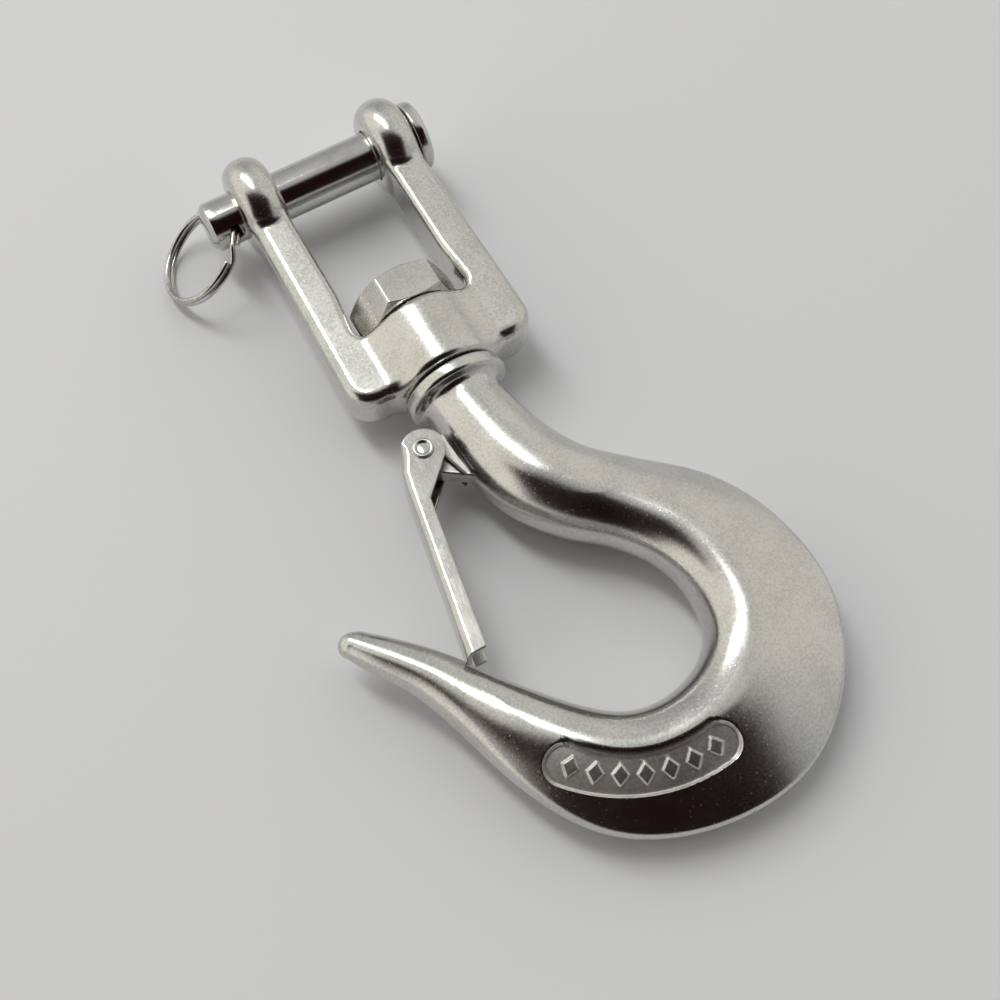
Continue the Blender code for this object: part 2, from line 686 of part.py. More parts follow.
def axis_empty(name, location, frame):
    """Empty on a joint axis, under the frame."""
    empty = bpy.data.objects.new(name, None)
    empty.empty_display_size = 4.0
    bpy.context.scene.collection.objects.link(empty)
    empty.location = location
    empty.parent = frame
    return empty


def main():
    """Builds every sub-part, tips the assembly onto the ground and centres it."""
    for old in list(bpy.data.objects):
        bpy.data.objects.remove(old)
    yoke, hook = build_yoke(), build_hook()
    yoke_points = [v.co.copy() for v in yoke.data.vertices]
    hook_points = [v.co.copy() for v in hook.data.vertices]
    tilt = solve(lambda a: lowest(yoke_points, a) - lowest(hook_points, a), 0.0, radians(6))
    ground = lowest(yoke_points, tilt)
    rest = RING_WIRE / 2 + GROUND_GAP
    droop = solve(lambda a: ground + rest - lowest(ring_path(a), tilt), 0.0, radians(85))

    frame = bpy.data.objects.new("frame", None)
    bpy.context.scene.collection.objects.link(frame)
    steel = (0.56, 0.55, 0.53)
    satin = (0.60, 0.59, 0.57)
    bright = (0.66, 0.65, 0.63)
    pivot, hole = (*PIVOT, 0.0), (CROSS_HOLE_X, 0.0, 0.0)
    finish(yoke, frame, satin, 0.28)
    finish(build_pin(), frame, bright, 0.16)
    finish(build_ring(droop), frame, steel, 0.2, 60.0, hole)
    finish(build_nut(), frame, satin, 0.3)
    finish(hook, frame, satin, 0.26)
    latch = finish(build_latch(), frame, bright, 0.18, 32.0, pivot)
    rivet = finish(build_rivet(), frame, steel, 0.34, 40.0, pivot)
    finish(build_spring(), frame, steel, 0.25, 60.0, pivot)
    latch_axis = axis_empty("latch_axis", pivot, frame)
    for piece in (latch, rivet):
        piece.parent = latch_axis
        piece.location = (0.0, 0.0, 0.0)

    frame.rotation_euler = (tilt, 0.0, 0.0)
    frame.scale = (MM, MM, MM)
    bpy.context.view_layer.update()
    corners = [
        obj.matrix_world @ v.co
        for obj in bpy.data.objects if obj.type == "MESH"
        for v in obj.data.vertices
    ]
    low = [min(p[k] for p in corners) for k in range(3)]
    high = [max(p[k] for p in corners) for k in range(3)]
    frame.location = (-(low[0] + high[0]) / 2, -(low[1] + high[1]) / 2, -low[2])
    bpy.context.view_layer.update()


main()
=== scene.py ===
"""Swivel jaw hook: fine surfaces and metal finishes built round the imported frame.

Every class below makes one piece of the hook in its level design frame, in
millimetres: X runs along the clevis pin towards its head, Y along the swivel
axis towards the jaw and Z up, with the origin in the middle of the pin.
DesignFrame finds that frame from the joints and places the finished pieces.
"""

import itertools
import json
import logging
import math
from collections.abc import Callable, Sequence
from dataclasses import dataclass, field
from enum import Enum

import bpy
import numpy as np
from mathutils import Matrix, Vector


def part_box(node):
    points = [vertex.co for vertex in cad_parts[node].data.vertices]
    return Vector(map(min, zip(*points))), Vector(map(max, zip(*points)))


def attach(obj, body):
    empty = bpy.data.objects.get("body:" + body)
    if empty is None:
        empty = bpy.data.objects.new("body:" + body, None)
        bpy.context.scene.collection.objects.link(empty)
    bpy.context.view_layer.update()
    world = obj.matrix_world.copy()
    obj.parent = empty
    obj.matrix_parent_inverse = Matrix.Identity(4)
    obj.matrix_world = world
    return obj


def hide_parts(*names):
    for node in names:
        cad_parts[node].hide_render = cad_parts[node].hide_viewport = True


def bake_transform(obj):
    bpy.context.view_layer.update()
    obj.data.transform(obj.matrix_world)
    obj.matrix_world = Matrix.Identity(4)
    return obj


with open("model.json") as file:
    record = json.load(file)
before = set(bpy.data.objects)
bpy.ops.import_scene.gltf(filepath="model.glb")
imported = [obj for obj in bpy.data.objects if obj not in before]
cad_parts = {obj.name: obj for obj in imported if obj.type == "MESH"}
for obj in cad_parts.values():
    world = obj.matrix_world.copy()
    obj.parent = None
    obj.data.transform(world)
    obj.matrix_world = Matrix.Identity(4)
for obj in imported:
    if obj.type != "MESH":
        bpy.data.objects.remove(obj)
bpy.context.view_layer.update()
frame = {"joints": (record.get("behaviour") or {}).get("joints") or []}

MM = 0.001
# Wire ends: how far out each closing ring lies and how wide it is, in radii.
WIRE_END = ((0.07, 0.75), (0.20, 0.93))
Array = np.ndarray
Point = tuple[float, ...]
log = logging.getLogger("swivel_hook")


# ---------------------------------------------------------------- geometry


def polar(radius: float, angle: float, centre: Point = (0.0, 0.0)) -> tuple[float, float]:
    """Return the point at a radius and an angle in degrees from a centre."""
    turn = math.radians(angle)
    return centre[0] + radius * math.cos(turn), centre[1] + radius * math.sin(turn)


def arc(centre: Point, radius: float, start: float, end: float, steps: int) -> list[Point]:
    """Return points along an arc, both ends included."""
    return [polar(radius, start + (end - start) * i / steps, centre) for i in range(steps + 1)]


def smoothstep(low: float, high: float, value: Array) -> Array:
    """Return 0 below low, 1 above high and a smooth ramp between them."""
    t = np.clip((value - low) / (high - low), 0.0, 1.0)
    return t * t * (3 - 2 * t)


def round_both(a: Array, b: Array, radius: Array | float) -> Array:
    """Return the distance to what two shapes share, its edge rounded by a radius."""
    corner = np.hypot(np.maximum(radius + a, 0.0), np.maximum(radius + b, 0.0))
    return np.minimum(-radius, np.maximum(a, b)) + corner


def fillet_join(a: Array, b: Array, radius: float) -> Array:
    """Return the distance to two shapes joined, with a fillet in the valley."""
    corner = np.hypot(np.maximum(radius - a, 0.0), np.maximum(radius - b, 0.0))
    return np.maximum(radius, np.minimum(a, b)) - corner


def outline_distance(x: Array, y: Array, corners: Sequence[Point]) -> Array:
    """Return the signed distance to a closed outline in the XY plane.

    Args:
        x: X of the places to measure.
        y: Y of the places to measure.
        corners: The outline's corners, in order.

    Returns:
        Distances, negative inside.
    """
    best = np.full(np.broadcast_shapes(np.shape(x), np.shape(y)), 1e9)
    inside = np.zeros(best.shape, bool)
    for (x0, y0), (x1, y1) in zip(corners, list(corners[1:]) + [corners[0]]):
        ex, ey = x1 - x0, y1 - y0
        along = np.clip(((x - x0) * ex + (y - y0) * ey) / (ex * ex + ey * ey), 0.0, 1.0)
        best = np.minimum(best, (x - x0 - ex * along) ** 2 + (y - y0 - ey * along) ** 2)
        if ey:
            spans = (y >= min(y0, y1)) & (y < max(y0, y1))
            inside ^= spans & (x < x0 + ex * (y - y0) / ey)
    return np.where(inside, -1.0, 1.0) * np.sqrt(best)


def edge_roll(depth: float, steps: int) -> list[tuple[float, float]]:
    """Return inset and drop pairs that round an edge from its face to its side."""
    turns = [math.pi / 2 * i / steps for i in range(steps + 1)]
    return [(depth * (1 - math.sin(t)), depth * (1 - math.cos(t))) for t in turns]


def natural_spline(values: Array, places: Array) -> Array:
    """Return a curve through rows of values, with continuous curvature.

    Args:
        values: One row for each whole-numbered place.
        places: Where to read the curve, in rows.

    Returns:
        One row for each place.
    """
    last = len(values) - 1
    system = np.diag([1.0] + [4.0] * (last - 1) + [1.0])
    right = np.zeros_like(values)
    for i in range(1, last):
        system[i, i - 1] = system[i, i + 1] = 1.0
        right[i] = 6 * (values[i - 1] - 2 * values[i] + values[i + 1])
    bends = np.linalg.solve(system, right)
    row = np.clip(places.astype(int), 0, last - 1)
    t = (places - row)[:, None]
    s = 1 - t
    curve = s * values[row] + t * values[row + 1]
    return curve + ((s**3 - s) * bends[row] + (t**3 - t) * bends[row + 1]) / 6


@dataclass
class Shell:
    """Points and faces of one closed surface, in design millimetres."""

    points: Array
    faces: list[tuple[int, ...]]

    @classmethod
    def loft(cls, rings: Array, closed: bool = False) -> "Shell":
        """Skin rings of equal length.

        Args:
            rings: Array of rings, points round each ring, and XYZ.
            closed: Join the last ring to the first instead of capping both.

        Returns:
            The shell, facing out.
        """
        count, around = rings.shape[:2]
        start = np.arange(count if closed else count - 1)[:, None] * around
        after = (start + around) % (count * around)
        here = np.arange(around)[None, :]
        ahead = (here + 1) % around
        quads = np.stack([start + here, start + ahead, after + ahead, after + here], -1)
        faces = [tuple(quad) for quad in quads.reshape(-1, 4).tolist()]
        if not closed:
            first = count * around - around
            faces += [tuple(range(around))[::-1], tuple(range(first, first + around))]
        return cls(rings.reshape(-1, 3), faces).facing_out()

    @classmethod
    def turned(cls, profile: Sequence[Point], facets: int, closed: bool = False) -> "Shell":
        """Turn (station, radius) points about X; see loft for closed."""
        turn = np.arange(facets) * 2 * np.pi / facets
        station, radius = np.array(profile).T
        rings = np.empty((len(profile), facets, 3))
        rings[..., 0] = station[:, None]
        rings[..., 1] = np.maximum(radius, 0.01)[:, None] * np.cos(turn)
        rings[..., 2] = np.maximum(radius, 0.01)[:, None] * np.sin(turn)
        return cls.loft(rings, closed)

    @classmethod
    def wire(cls, path: Array, radius: float, facets: int) -> "Shell":
        """Sweep a round wire along a path, its ends drawn in."""
        ahead = np.gradient(path, axis=0)
        ahead /= np.linalg.norm(ahead, axis=1)[:, None]
        side = np.array(Vector(ahead[0]).orthogonal().normalized())
        turn = np.arange(facets) * 2 * np.pi / facets
        rings = []
        for place, along in zip(path, ahead):
            side = side - along * side.dot(along)
            side /= np.linalg.norm(side)
            other = np.cross(along, side)
            rings.append(np.cos(turn)[:, None] * side + np.sin(turn)[:, None] * other)
        rings = [rings[0]] * 2 + rings + [rings[-1]] * 2
        places = [path[0]] * 2 + list(path) + [path[-1]] * 2
        scales = [radius] * len(rings)
        for k, (out, share) in enumerate(WIRE_END):
            places[k] = path[0] - ahead[0] * radius * out
            places[-1 - k] = path[-1] + ahead[-1] * radius * out
            scales[k] = scales[-1 - k] = radius * share
        placed = [p + ring * scale for p, ring, scale in zip(places, rings, scales)]
        return cls.loft(np.array(placed))

    def facing_out(self) -> "Shell":
        """Turn the faces over if they face in, and return the shell."""
        quads = np.array([face for face in self.faces if len(face) == 4])
        a, b, c, d = (self.points[quads[:, k]] for k in range(4))
        volume = (np.cross(a, b) * c).sum() + (np.cross(a, c) * d).sum()
        for cap in (face for face in self.faces if len(face) > 4):
            rim = self.points[list(cap)]
            volume += (np.cross(rim[:1], rim[1:-1]) * rim[2:]).sum()
        if volume < 0:
            self.faces = [face[::-1] for face in self.faces]
        return self

    def upright(self, x: float, y: float) -> "Shell":
        """Return the shell with what ran along X now upright at a point in plan."""
        p = self.points
        self.points = np.stack([x - p[:, 2], y + p[:, 1], p[:, 0]], -1)
        return self

    def to_object(self, name: str) -> bpy.types.Object:
        """Link the shell into the scene as a mesh object in millimetres."""
        mesh = bpy.data.meshes.new(name)
        mesh.from_pydata(self.points.tolist(), [], self.faces)
        mesh.update()
        piece = bpy.data.objects.new(name, mesh)
        bpy.context.scene.collection.objects.link(piece)
        return piece


@dataclass
class Carving:
    """A piece described by its signed distance and turned into fine quads."""

    distance: Callable[[Array, Array, Array], Array]
    low: Point
    high: Point
    step: float

    def shell(self) -> Shell:
        """Return the surface where the distance is zero."""
        margin = 2.5 * self.step
        axes = [np.arange(a - margin, b + margin, self.step) for a, b in zip(self.low, self.high)]
        x, y, z = np.ix_(*axes)
        values = self.distance(x, y, z)
        inside = values < 0
        corners = list(itertools.product((0, 1), repeat=3))
        size = [n - 1 for n in values.shape]
        window = {c: inside[tuple(slice(o, o + n) for o, n in zip(c, size))] for c in corners}
        count = sum(part.astype(np.int8) for part in window.values())
        mixed = (count > 0) & (count < 8)
        cells = np.argwhere(mixed)
        index = np.full(mixed.shape, -1)
        index[mixed] = np.arange(len(cells))
        points = self._crossings(values, cells, corners) * self.step + [a[0] for a in axes]
        faces = self._quads(inside, index)
        return Shell(self._settled(points), faces)

    def _crossings(self, values: Array, cells: Array, corners: list[tuple]) -> Array:
        """Return the mean of the places where each cell's edges cross zero."""
        total, hits = np.zeros((len(cells), 3)), np.zeros(len(cells))
        for corner, axis in itertools.product(corners, range(3)):
            if corner[axis]:
                continue
            near = cells + corner
            far = near.copy()
            far[:, axis] += 1
            a, b = values[tuple(near.T)], values[tuple(far.T)]
            cross = (a < 0) != (b < 0)
            place = near[cross].astype(float)
            place[:, axis] += a[cross] / (a[cross] - b[cross])
            total[cross] += place
            hits[cross] += 1
        return total / hits[:, None]

    def _quads(self, inside: Array, index: Array) -> list[tuple[int, ...]]:
        """Return one quad round each grid edge that crosses the surface."""
        faces = []
        for axis in range(3):
            u, v = (axis + 1) % 3, (axis + 2) % 3
            below = np.take(inside, range(inside.shape[axis] - 1), axis)
            above = np.take(inside, range(1, inside.shape[axis]), axis)
            edges = np.argwhere(below != above)
            leaves = below[tuple(edges.T)]
            ring = []
            for du, dv in ((0, 0), (-1, 0), (-1, -1), (0, -1)):
                cell = edges.copy()
                cell[:, u] += du
                cell[:, v] += dv
                ring.append(index[tuple(cell.T)])
            quads = np.stack(ring, -1)
            quads[~leaves] = quads[~leaves][:, ::-1]
            faces += [tuple(quad) for quad in quads.tolist()]
        return faces

    def _settled(self, points: Array) -> Array:
        """Return the points moved onto the exact surface."""
        nudge = 0.02
        for _ in range(3):
            x, y, z = points.T
            slope = np.stack(
                [
                    self.distance(x + nudge, y, z) - self.distance(x - nudge, y, z),
                    self.distance(x, y + nudge, z) - self.distance(x, y - nudge, z),
                    self.distance(x, y, z + nudge) - self.distance(x, y, z - nudge),
                ],
                -1,
            ) / (2 * nudge)
            steep = np.maximum((slope**2).sum(1), 0.25)
            points = points - slope * (self.distance(x, y, z) / steep)[:, None]
        return points


@dataclass(frozen=True)
class DesignFrame:
    """Where the level design frame lies in the world."""

    matrix: Matrix

    @classmethod
    def from_joints(cls, joints: list[dict]) -> "DesignFrame":
        """Find the frame from the pin's and the swivel's joint axes."""
        named = {joint["name"]: joint for joint in joints}
        pin, swivel = named["pin_turn"], named["hook_swivel"]
        x_axis, y_axis = Vector(pin["axis"]), Vector(swivel["axis"])
        basis = Matrix((x_axis, y_axis, x_axis.cross(y_axis))).transposed()
        return cls(Matrix.Translation(pin["pos_m"]) @ basis.to_4x4() @ Matrix.Scale(MM, 4))

    def world(self, point: Point) -> Vector:
        """Return a design point in world metres."""
        return self.matrix @ Vector(point)

    def dress(self, piece: bpy.types.Object, metal: bpy.types.Material, crease: float) -> None:
        """Bring a piece into the world, shade it and give it its metal.

        Args:
            piece: An object modelled in design millimetres.
            metal: The material of the whole piece.
            crease: Angle in degrees above which an edge stays sharp.
        """
        piece.data.transform(self.matrix)
        piece.data.polygons.foreach_set("use_smooth", [True] * len(piece.data.polygons))
        piece.data.set_sharp_from_angle(angle=math.radians(crease))
        piece.data.materials.clear()
        piece.data.materials.append(metal)
        log.info("%s: %d faces", piece.name, len(piece.data.polygons))


class Cut(Enum):
    """What a Boolean does with its tool."""

    JOIN = "UNION"
    REMOVE = "DIFFERENCE"


def combine(piece: bpy.types.Object, tool: bpy.types.Object, cut: Cut) -> None:
    """Apply an exact Boolean to a piece and delete the tool."""
    modifier = piece.modifiers.new(cut.name.title(), "BOOLEAN")
    modifier.operation = cut.value
    modifier.solver = "EXACT"
    modifier.object = tool
    graph = bpy.context.evaluated_depsgraph_get()
    graph.update()
    mesh = bpy.data.meshes.new_from_object(piece.evaluated_get(graph))
    piece.modifiers.clear()
    used, piece.data = piece.data, mesh
    bpy.data.meshes.remove(used)
    bpy.data.objects.remove(tool)


# ---------------------------------------------------------------- finishes


class Signal:
    """A number that varies over a surface, held as the socket that carries it."""

    def __init__(self, graph: "Graph", socket: bpy.types.NodeSocket) -> None:
        """Wrap one output socket of a graph."""
        self.graph = graph
        self.socket = socket

    def _math(self, operation: str, first: object, second: object) -> "Signal":
        """Add one Math node and return its result."""
        return self.graph.node("ShaderNodeMath", {"operation": operation}, {0: first, 1: second})

    def __add__(self, other: object) -> "Signal":
        """Return the sum."""
        return self._math("ADD", self, other)

    __radd__ = __add__

    def __sub__(self, other: object) -> "Signal":
        """Return this less the other."""
        return self._math("SUBTRACT", self, other)

    def __rsub__(self, other: object) -> "Signal":
        """Return the other less this."""
        return self._math("SUBTRACT", other, self)

    def __mul__(self, other: object) -> "Signal":
        """Return the product."""
        return self._math("MULTIPLY", self, other)

    __rmul__ = __mul__

    def over(self, low: float, high: float) -> "Signal":
        """Return a smooth mask: 0 up to low and 1 from high."""
        settings = {"interpolation_type": "SMOOTHSTEP"}
        inputs = {"Value": self, "From Min": low, "From Max": high}
        return self.graph.node("ShaderNodeMapRange", settings, inputs)


class Graph:
    """The nodes of one material or of the world."""

    def __init__(self, tree: bpy.types.NodeTree) -> None:
        """Start from an empty tree."""
        self.tree = tree
        tree.nodes.clear()

    def node(self, kind: str, settings: dict, inputs: dict, output: int | str = 0) -> Signal:
        """Add one node.

        Args:
            kind: The node's type name.
            settings: Its properties, set first.
            inputs: Values or signals by socket name, identifier or number.
            output: The output that the signal carries.

        Returns:
            The chosen output as a signal, or None where there is none.
        """
        made = self.tree.nodes.new(kind)
        for key, value in settings.items():
            setattr(made, key, value)
        for key, value in inputs.items():
            socket = self._socket(made, key)
            if isinstance(value, Signal):
                self.tree.links.new(value.socket, socket)
            else:
                socket.default_value = value
        return Signal(self, made.outputs[output]) if made.outputs else None

    @staticmethod
    def _socket(made: bpy.types.Node, key: int | str) -> bpy.types.NodeSocket:
        """Return an input by number, identifier or name."""
        if isinstance(key, int):
            return made.inputs[key]
        match = [s for s in made.inputs if s.identifier == key]
        return match[0] if match else made.inputs[key]

    def place(self) -> Signal:
        """Return the position on the piece, in metres at rest."""
        return self.node("ShaderNodeTexCoord", {}, {}, "Object")

    def stretched(self, place: Signal, turn: Point, scale: Point) -> Signal:
        """Return a position turned and scaled, so that a grain can run one way."""
        inputs = {"Vector": place, "Rotation": turn, "Scale": scale}
        return self.node("ShaderNodeMapping", {"vector_type": "TEXTURE"}, inputs)

    def noise(self, place: Signal, scale: float, detail: float = 2.0) -> Signal:
        """Return soft noise of a given number of cells to the metre."""
        inputs = {"Vector": place, "Scale": scale, "Detail": detail, "Roughness": 0.55}
        return self.node("ShaderNodeTexNoise", {}, inputs, "Fac")

    def mixed(self, mask: Signal, low: Point | Signal, high: Point) -> Signal:
        """Return a colour that runs from one to another with a mask."""
        first = low if isinstance(low, Signal) else (*low, 1.0)
        inputs = {"Factor_Float": mask, "A_Color": first, "B_Color": (*high, 1.0)}
        return self.node("ShaderNodeMix", {"data_type": "RGBA"}, inputs, 2)

    def bump(self, height: Signal, depth: float, strength: float) -> Signal:
        """Return a normal bumped by a height."""
        inputs = {"Height": height, "Distance": depth, "Strength": strength}
        return self.node("ShaderNodeBump", {}, inputs)

    def metal(self, colour: Signal, roughness: Signal, normal: Signal) -> None:
        """Finish the material as bare metal."""
        inputs = {"Base Color": colour, "Roughness": roughness, "Normal": normal, "Metallic": 1.0}
        shader = self.node("ShaderNodeBsdfPrincipled", {}, inputs)
        self.node("ShaderNodeOutputMaterial", {}, {"Surface": shader})


@dataclass(frozen=True)
class Finish:
    """A steel surface: its colours, how rough it is and its grain."""

    name: str
    dark: Point = (0.52, 0.515, 0.49)
    light: Point = (0.66, 0.655, 0.625)
    roughness: float = 0.2
    spread: float = 0.08
    grain: float = 2600.0
    depth: float = 0.000012
    strength: float = 0.5

    def start(self) -> tuple[bpy.types.Material, Graph]:
        """Return a new material and its empty graph."""
        material = bpy.data.materials.new(self.name)
        material.use_nodes = True
        return material, Graph(material.node_tree)


@dataclass(frozen=True)
class CastFinish(Finish):
    """Barrel-polished casting: bright skin with fine pits and rougher flats."""

    pits: float = 1500.0
    flat_roughness: float = 0.24

    def material(self, up: Vector) -> bpy.types.Material:
        """Return the material.

        Args:
            up: The direction that the unpolished flat faces look, at rest.

        Returns:
            The material.
        """
        material, graph = self.start()
        place = graph.place()
        cloud = graph.noise(place, 160.0, 3.0)
        grain = graph.noise(place, self.grain, 3.0)
        fine = graph.noise(place, self.grain * 2.3, 1.0)
        cells = {"Vector": place, "Scale": self.pits}
        pit = graph.node("ShaderNodeTexVoronoi", {}, cells, "Distance")
        speck = (1 - pit.over(0.10, 0.34)) * grain.over(0.5, 0.62)
        facing = graph.node("ShaderNodeTexCoord", {}, {}, "Normal")
        level = graph.node(
            "ShaderNodeVectorMath", {"operation": "DOT_PRODUCT"}, {0: facing, 1: tuple(up)}, "Value"
        )
        flat = level.over(0.985, 0.998)
        rough = graph.node("ShaderNodeAttribute", {"attribute_name": "rough_cast"}, {}, "Fac")
        dull = flat * 0.35 + rough
        colour = graph.mixed((cloud * 0.35 + grain * 0.65).over(0.36, 0.62), self.dark, self.light)
        roughness = (
            self.roughness
            + (cloud - 0.5) * self.spread
            + (grain - 0.5) * self.spread
            + speck * 0.10
            + dull * self.flat_roughness
        )
        height = grain * (0.55 + dull * 2.2) + fine * (0.25 + dull) - speck * 0.9
        graph.metal(colour, roughness, graph.bump(height, self.depth, self.strength))
        return material


@dataclass(frozen=True)
class WornFinish(Finish):
    """Machined, drawn or stamped steel whose marks run one way."""

    stretch: Point = (1.0, 1.0, 1.0)
    turn: Point = (0.0, 0.0, 0.0)
    scratches: float = 0.3

    def material(self) -> bpy.types.Material:
        """Return the material."""
        material, graph = self.start()
        place = graph.place()
        lay = graph.stretched(place, self.turn, self.stretch)
        marks = graph.noise(lay, self.grain, 4.0)
        cloud = graph.noise(place, 260.0, 3.0)
        nicks = graph.noise(graph.stretched(place, (0.4, 0.9, 0.5), (9.0, 1.0, 1.0)), 3800.0, 1.0)
        nick = nicks.over(0.66, 0.74) * self.scratches
        colour = graph.mixed((cloud * 0.4 + marks * 0.6).over(0.35, 0.65), self.dark, self.light)
        roughness = self.roughness + (marks - 0.5) * self.spread + (cloud - 0.5) * self.spread
        roughness = roughness + nick * 0.12
        height = marks - nick
        graph.metal(colour, roughness, graph.bump(height, self.depth, self.strength))
        return material


# Turned, machined, stamped, ring wire, latch spring wire and rolled tube.
WORN = (
    WornFinish("turned_steel", roughness=0.13, spread=0.04, stretch=(0.08, 1.0, 1.0)),
    WornFinish("machined_steel", roughness=0.27, spread=0.1, scratches=0.6),
    WornFinish("stamped_sheet", roughness=0.2, spread=0.08, stretch=(0.5, 2.0, 0.5)),
    WornFinish("spring_steel", roughness=0.18, spread=0.06, dark=(0.42, 0.41, 0.39)),
    WornFinish("dark_wire", (0.16, 0.155, 0.15), (0.26, 0.25, 0.24), roughness=0.3),
    WornFinish("rolled_tube", roughness=0.26, spread=0.1, scratches=0.8),
)


# ---------------------------------------------------------------- pieces


@dataclass
class Jaw:
    """The clevis yoke: a U with two eyes, a beam and the swivel boss."""

    half_gap: float = 8.9
    jaw_reach: float = 32.0
    arm_thickness: float = 6.0
    arm_flare: float = 0.7
    height: float = 8.4
    beam_depth: float = 10.6
    corner: float = 4.4
    root: float = 2.2
    outer_roll: float = 2.0
    inner_roll: float = 1.1
    nut_relief: float = 0.7
    relief_end: float = -23.4
    eye_radius: float = 8.1
    eye_core: float = 5.3
    eye_inner: float = 8.4
    eye_outer: float = 15.3
    eye_fillet: float = 0.7
    boss_radius: float = 8.3
    boss_top: float = -31.7
    boss_bottom: float = -43.3
    boss_roll: float = 1.2
    boss_fillet: float = 2.2
    pin_bore: float = 4.2
    swivel_bore: float = 4.7
    bore_rim: float = 0.3
    step: float = 0.2
    outline: list[Point] = field(default_factory=list)

    def __post_init__(self) -> None:
        """Lay out the U."""
        arm_outer = self.half_gap + self.arm_thickness
        low = arm_outer + self.arm_flare
        bottom = -(self.jaw_reach + self.beam_depth)
        right = arc((low - self.corner, bottom + self.corner), self.corner, 270, 360, 16)
        left = arc((-low + self.corner, bottom + self.corner), self.corner, 180, 270, 16)
        middle = self.half_gap + self.nut_relief - self.root
        inner_right = arc((middle, -self.jaw_reach + self.root), self.root, 360, 270, 10)
        inner_left = arc((-middle, -self.jaw_reach + self.root), self.root, 270, 180, 10)
        outer = left + right + [(arm_outer, 3.0)]
        inner = [(self.half_gap, 3.0), (self.half_gap, self.relief_end)] + inner_right
        inner += inner_left + [(-self.half_gap, self.relief_end), (-self.half_gap, 3.0)]
        self.outline = outer + inner + [(-arm_outer, 3.0)]

    def distance(self, x: Array, y: Array, z: Array) -> Array:
        """Return the signed distance to the casting."""
        across = np.maximum(
            (np.abs(x) - self.half_gap) / self.arm_thickness,
            (-self.jaw_reach - y) / self.beam_depth,
        )
        outward = smoothstep(0.25, 0.75, across)
        roll = self.inner_roll + (self.outer_roll - self.inner_roll) * outward
        plan = outline_distance(x, y, self.outline)
        body = round_both(plan, np.abs(z) - self.height / 2, roll)
        half = (self.eye_outer - self.eye_inner) / 2
        offset = (np.abs(x) - (self.eye_outer + self.eye_inner) / 2) / half
        from_pin = np.hypot(y, z)
        rise = np.maximum(from_pin - self.eye_core, 0.0)
        crown = self.eye_radius - self.eye_core
        level = np.hypot(offset, rise / crown)
        slope = np.maximum(np.hypot(offset / half, rise / crown**2), 1e-6)
        body = fillet_join(body, level * (level - 1) / slope, self.eye_fillet)
        from_axis = np.hypot(x, z)
        middle = (self.boss_top + self.boss_bottom) / 2
        ends = np.abs(y - middle) - (self.boss_top - self.boss_bottom) / 2
        boss = round_both(from_axis - self.boss_radius, ends, self.boss_roll)
        body = fillet_join(body, boss, self.boss_fillet)
        body = round_both(body, self.pin_bore - from_pin, self.bore_rim)
        return round_both(body, self.swivel_bore - from_axis, self.bore_rim)

    def build(self, place: DesignFrame, metal: bpy.types.Material) -> bpy.types.Object:
        """Make the yoke and hang it on its body."""
        width = self.half_gap + self.arm_thickness + self.arm_flare + 0.3
        low = (-width, self.boss_bottom, -self.boss_radius)
        high = (width, self.eye_radius, self.boss_radius)
        piece = Carving(self.distance, low, high, self.step).shell().to_object("yoke_casting")
        place.dress(piece, metal, 60.0)
        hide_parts("clevis_yoke")
        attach(piece, "yoke")
        return piece


@dataclass
class Pin:
    """The turned clevis pin with its flat head and cross-drilled end."""

    radius: float = 4.0
    chamfer: float = 0.8
    end: float = -21.0
    head_face: float = 15.6
    head_radius: float = 5.7
    head_thickness: float = 2.1
    head_roll: float = 0.9
    hole_radius: float = 1.35
    hole_station: float = -17.0
    facets: int = 160

    def profile(self) -> list[Point]:
        """Return the half profile from the drilled end to the head."""
        soft, outer = 0.12, self.head_face + self.head_thickness
        points = [(self.end, 0.0), (self.end, self.radius - self.chamfer - soft)]
        points += [(self.end + 0.04, self.radius - self.chamfer - 0.02)]
        points += [(self.end + self.chamfer - 0.06, self.radius - 0.06)]
        points += [(self.end + self.chamfer + soft, self.radius)]
        points += [(self.hole_station - 2, self.radius), (self.hole_station + 2, self.radius)]
        points += [(self.head_face - soft, self.radius), (self.head_face, self.radius + soft)]
        rear = edge_roll(0.4, 6)
        points += [(self.head_face + drop, self.head_radius - inset) for inset, drop in rear]
        front = edge_roll(self.head_roll, 12)[::-1]
        points += [(outer - drop, self.head_radius - inset) for inset, drop in front]
        return points + [(outer, 3.0), (outer, 0.0)]

    def build(
        self, place: DesignFrame, metal: bpy.types.Material, hole: Vector
    ) -> bpy.types.Object:
        """Make the pin, drill it along the ring's joint axis and hang it on its body."""
        piece = Shell.turned(self.profile(), self.facets).to_object("turned_pin")
        reach = self.radius + 2
        drill = Shell.turned([(-reach, self.hole_radius), (reach, self.hole_radius)], 48)
        tool = drill.to_object("drill")
        turn = Vector((1.0, 0.0, 0.0)).rotation_difference(hole).to_matrix().to_4x4()
        tool.data.transform(Matrix.Translation((self.hole_station, 0, 0)) @ turn)
        combine(piece, tool, Cut.REMOVE)
        place.dress(piece, metal, 28.0)
        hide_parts("clevis_pin")
        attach(piece, "pin")
        return piece


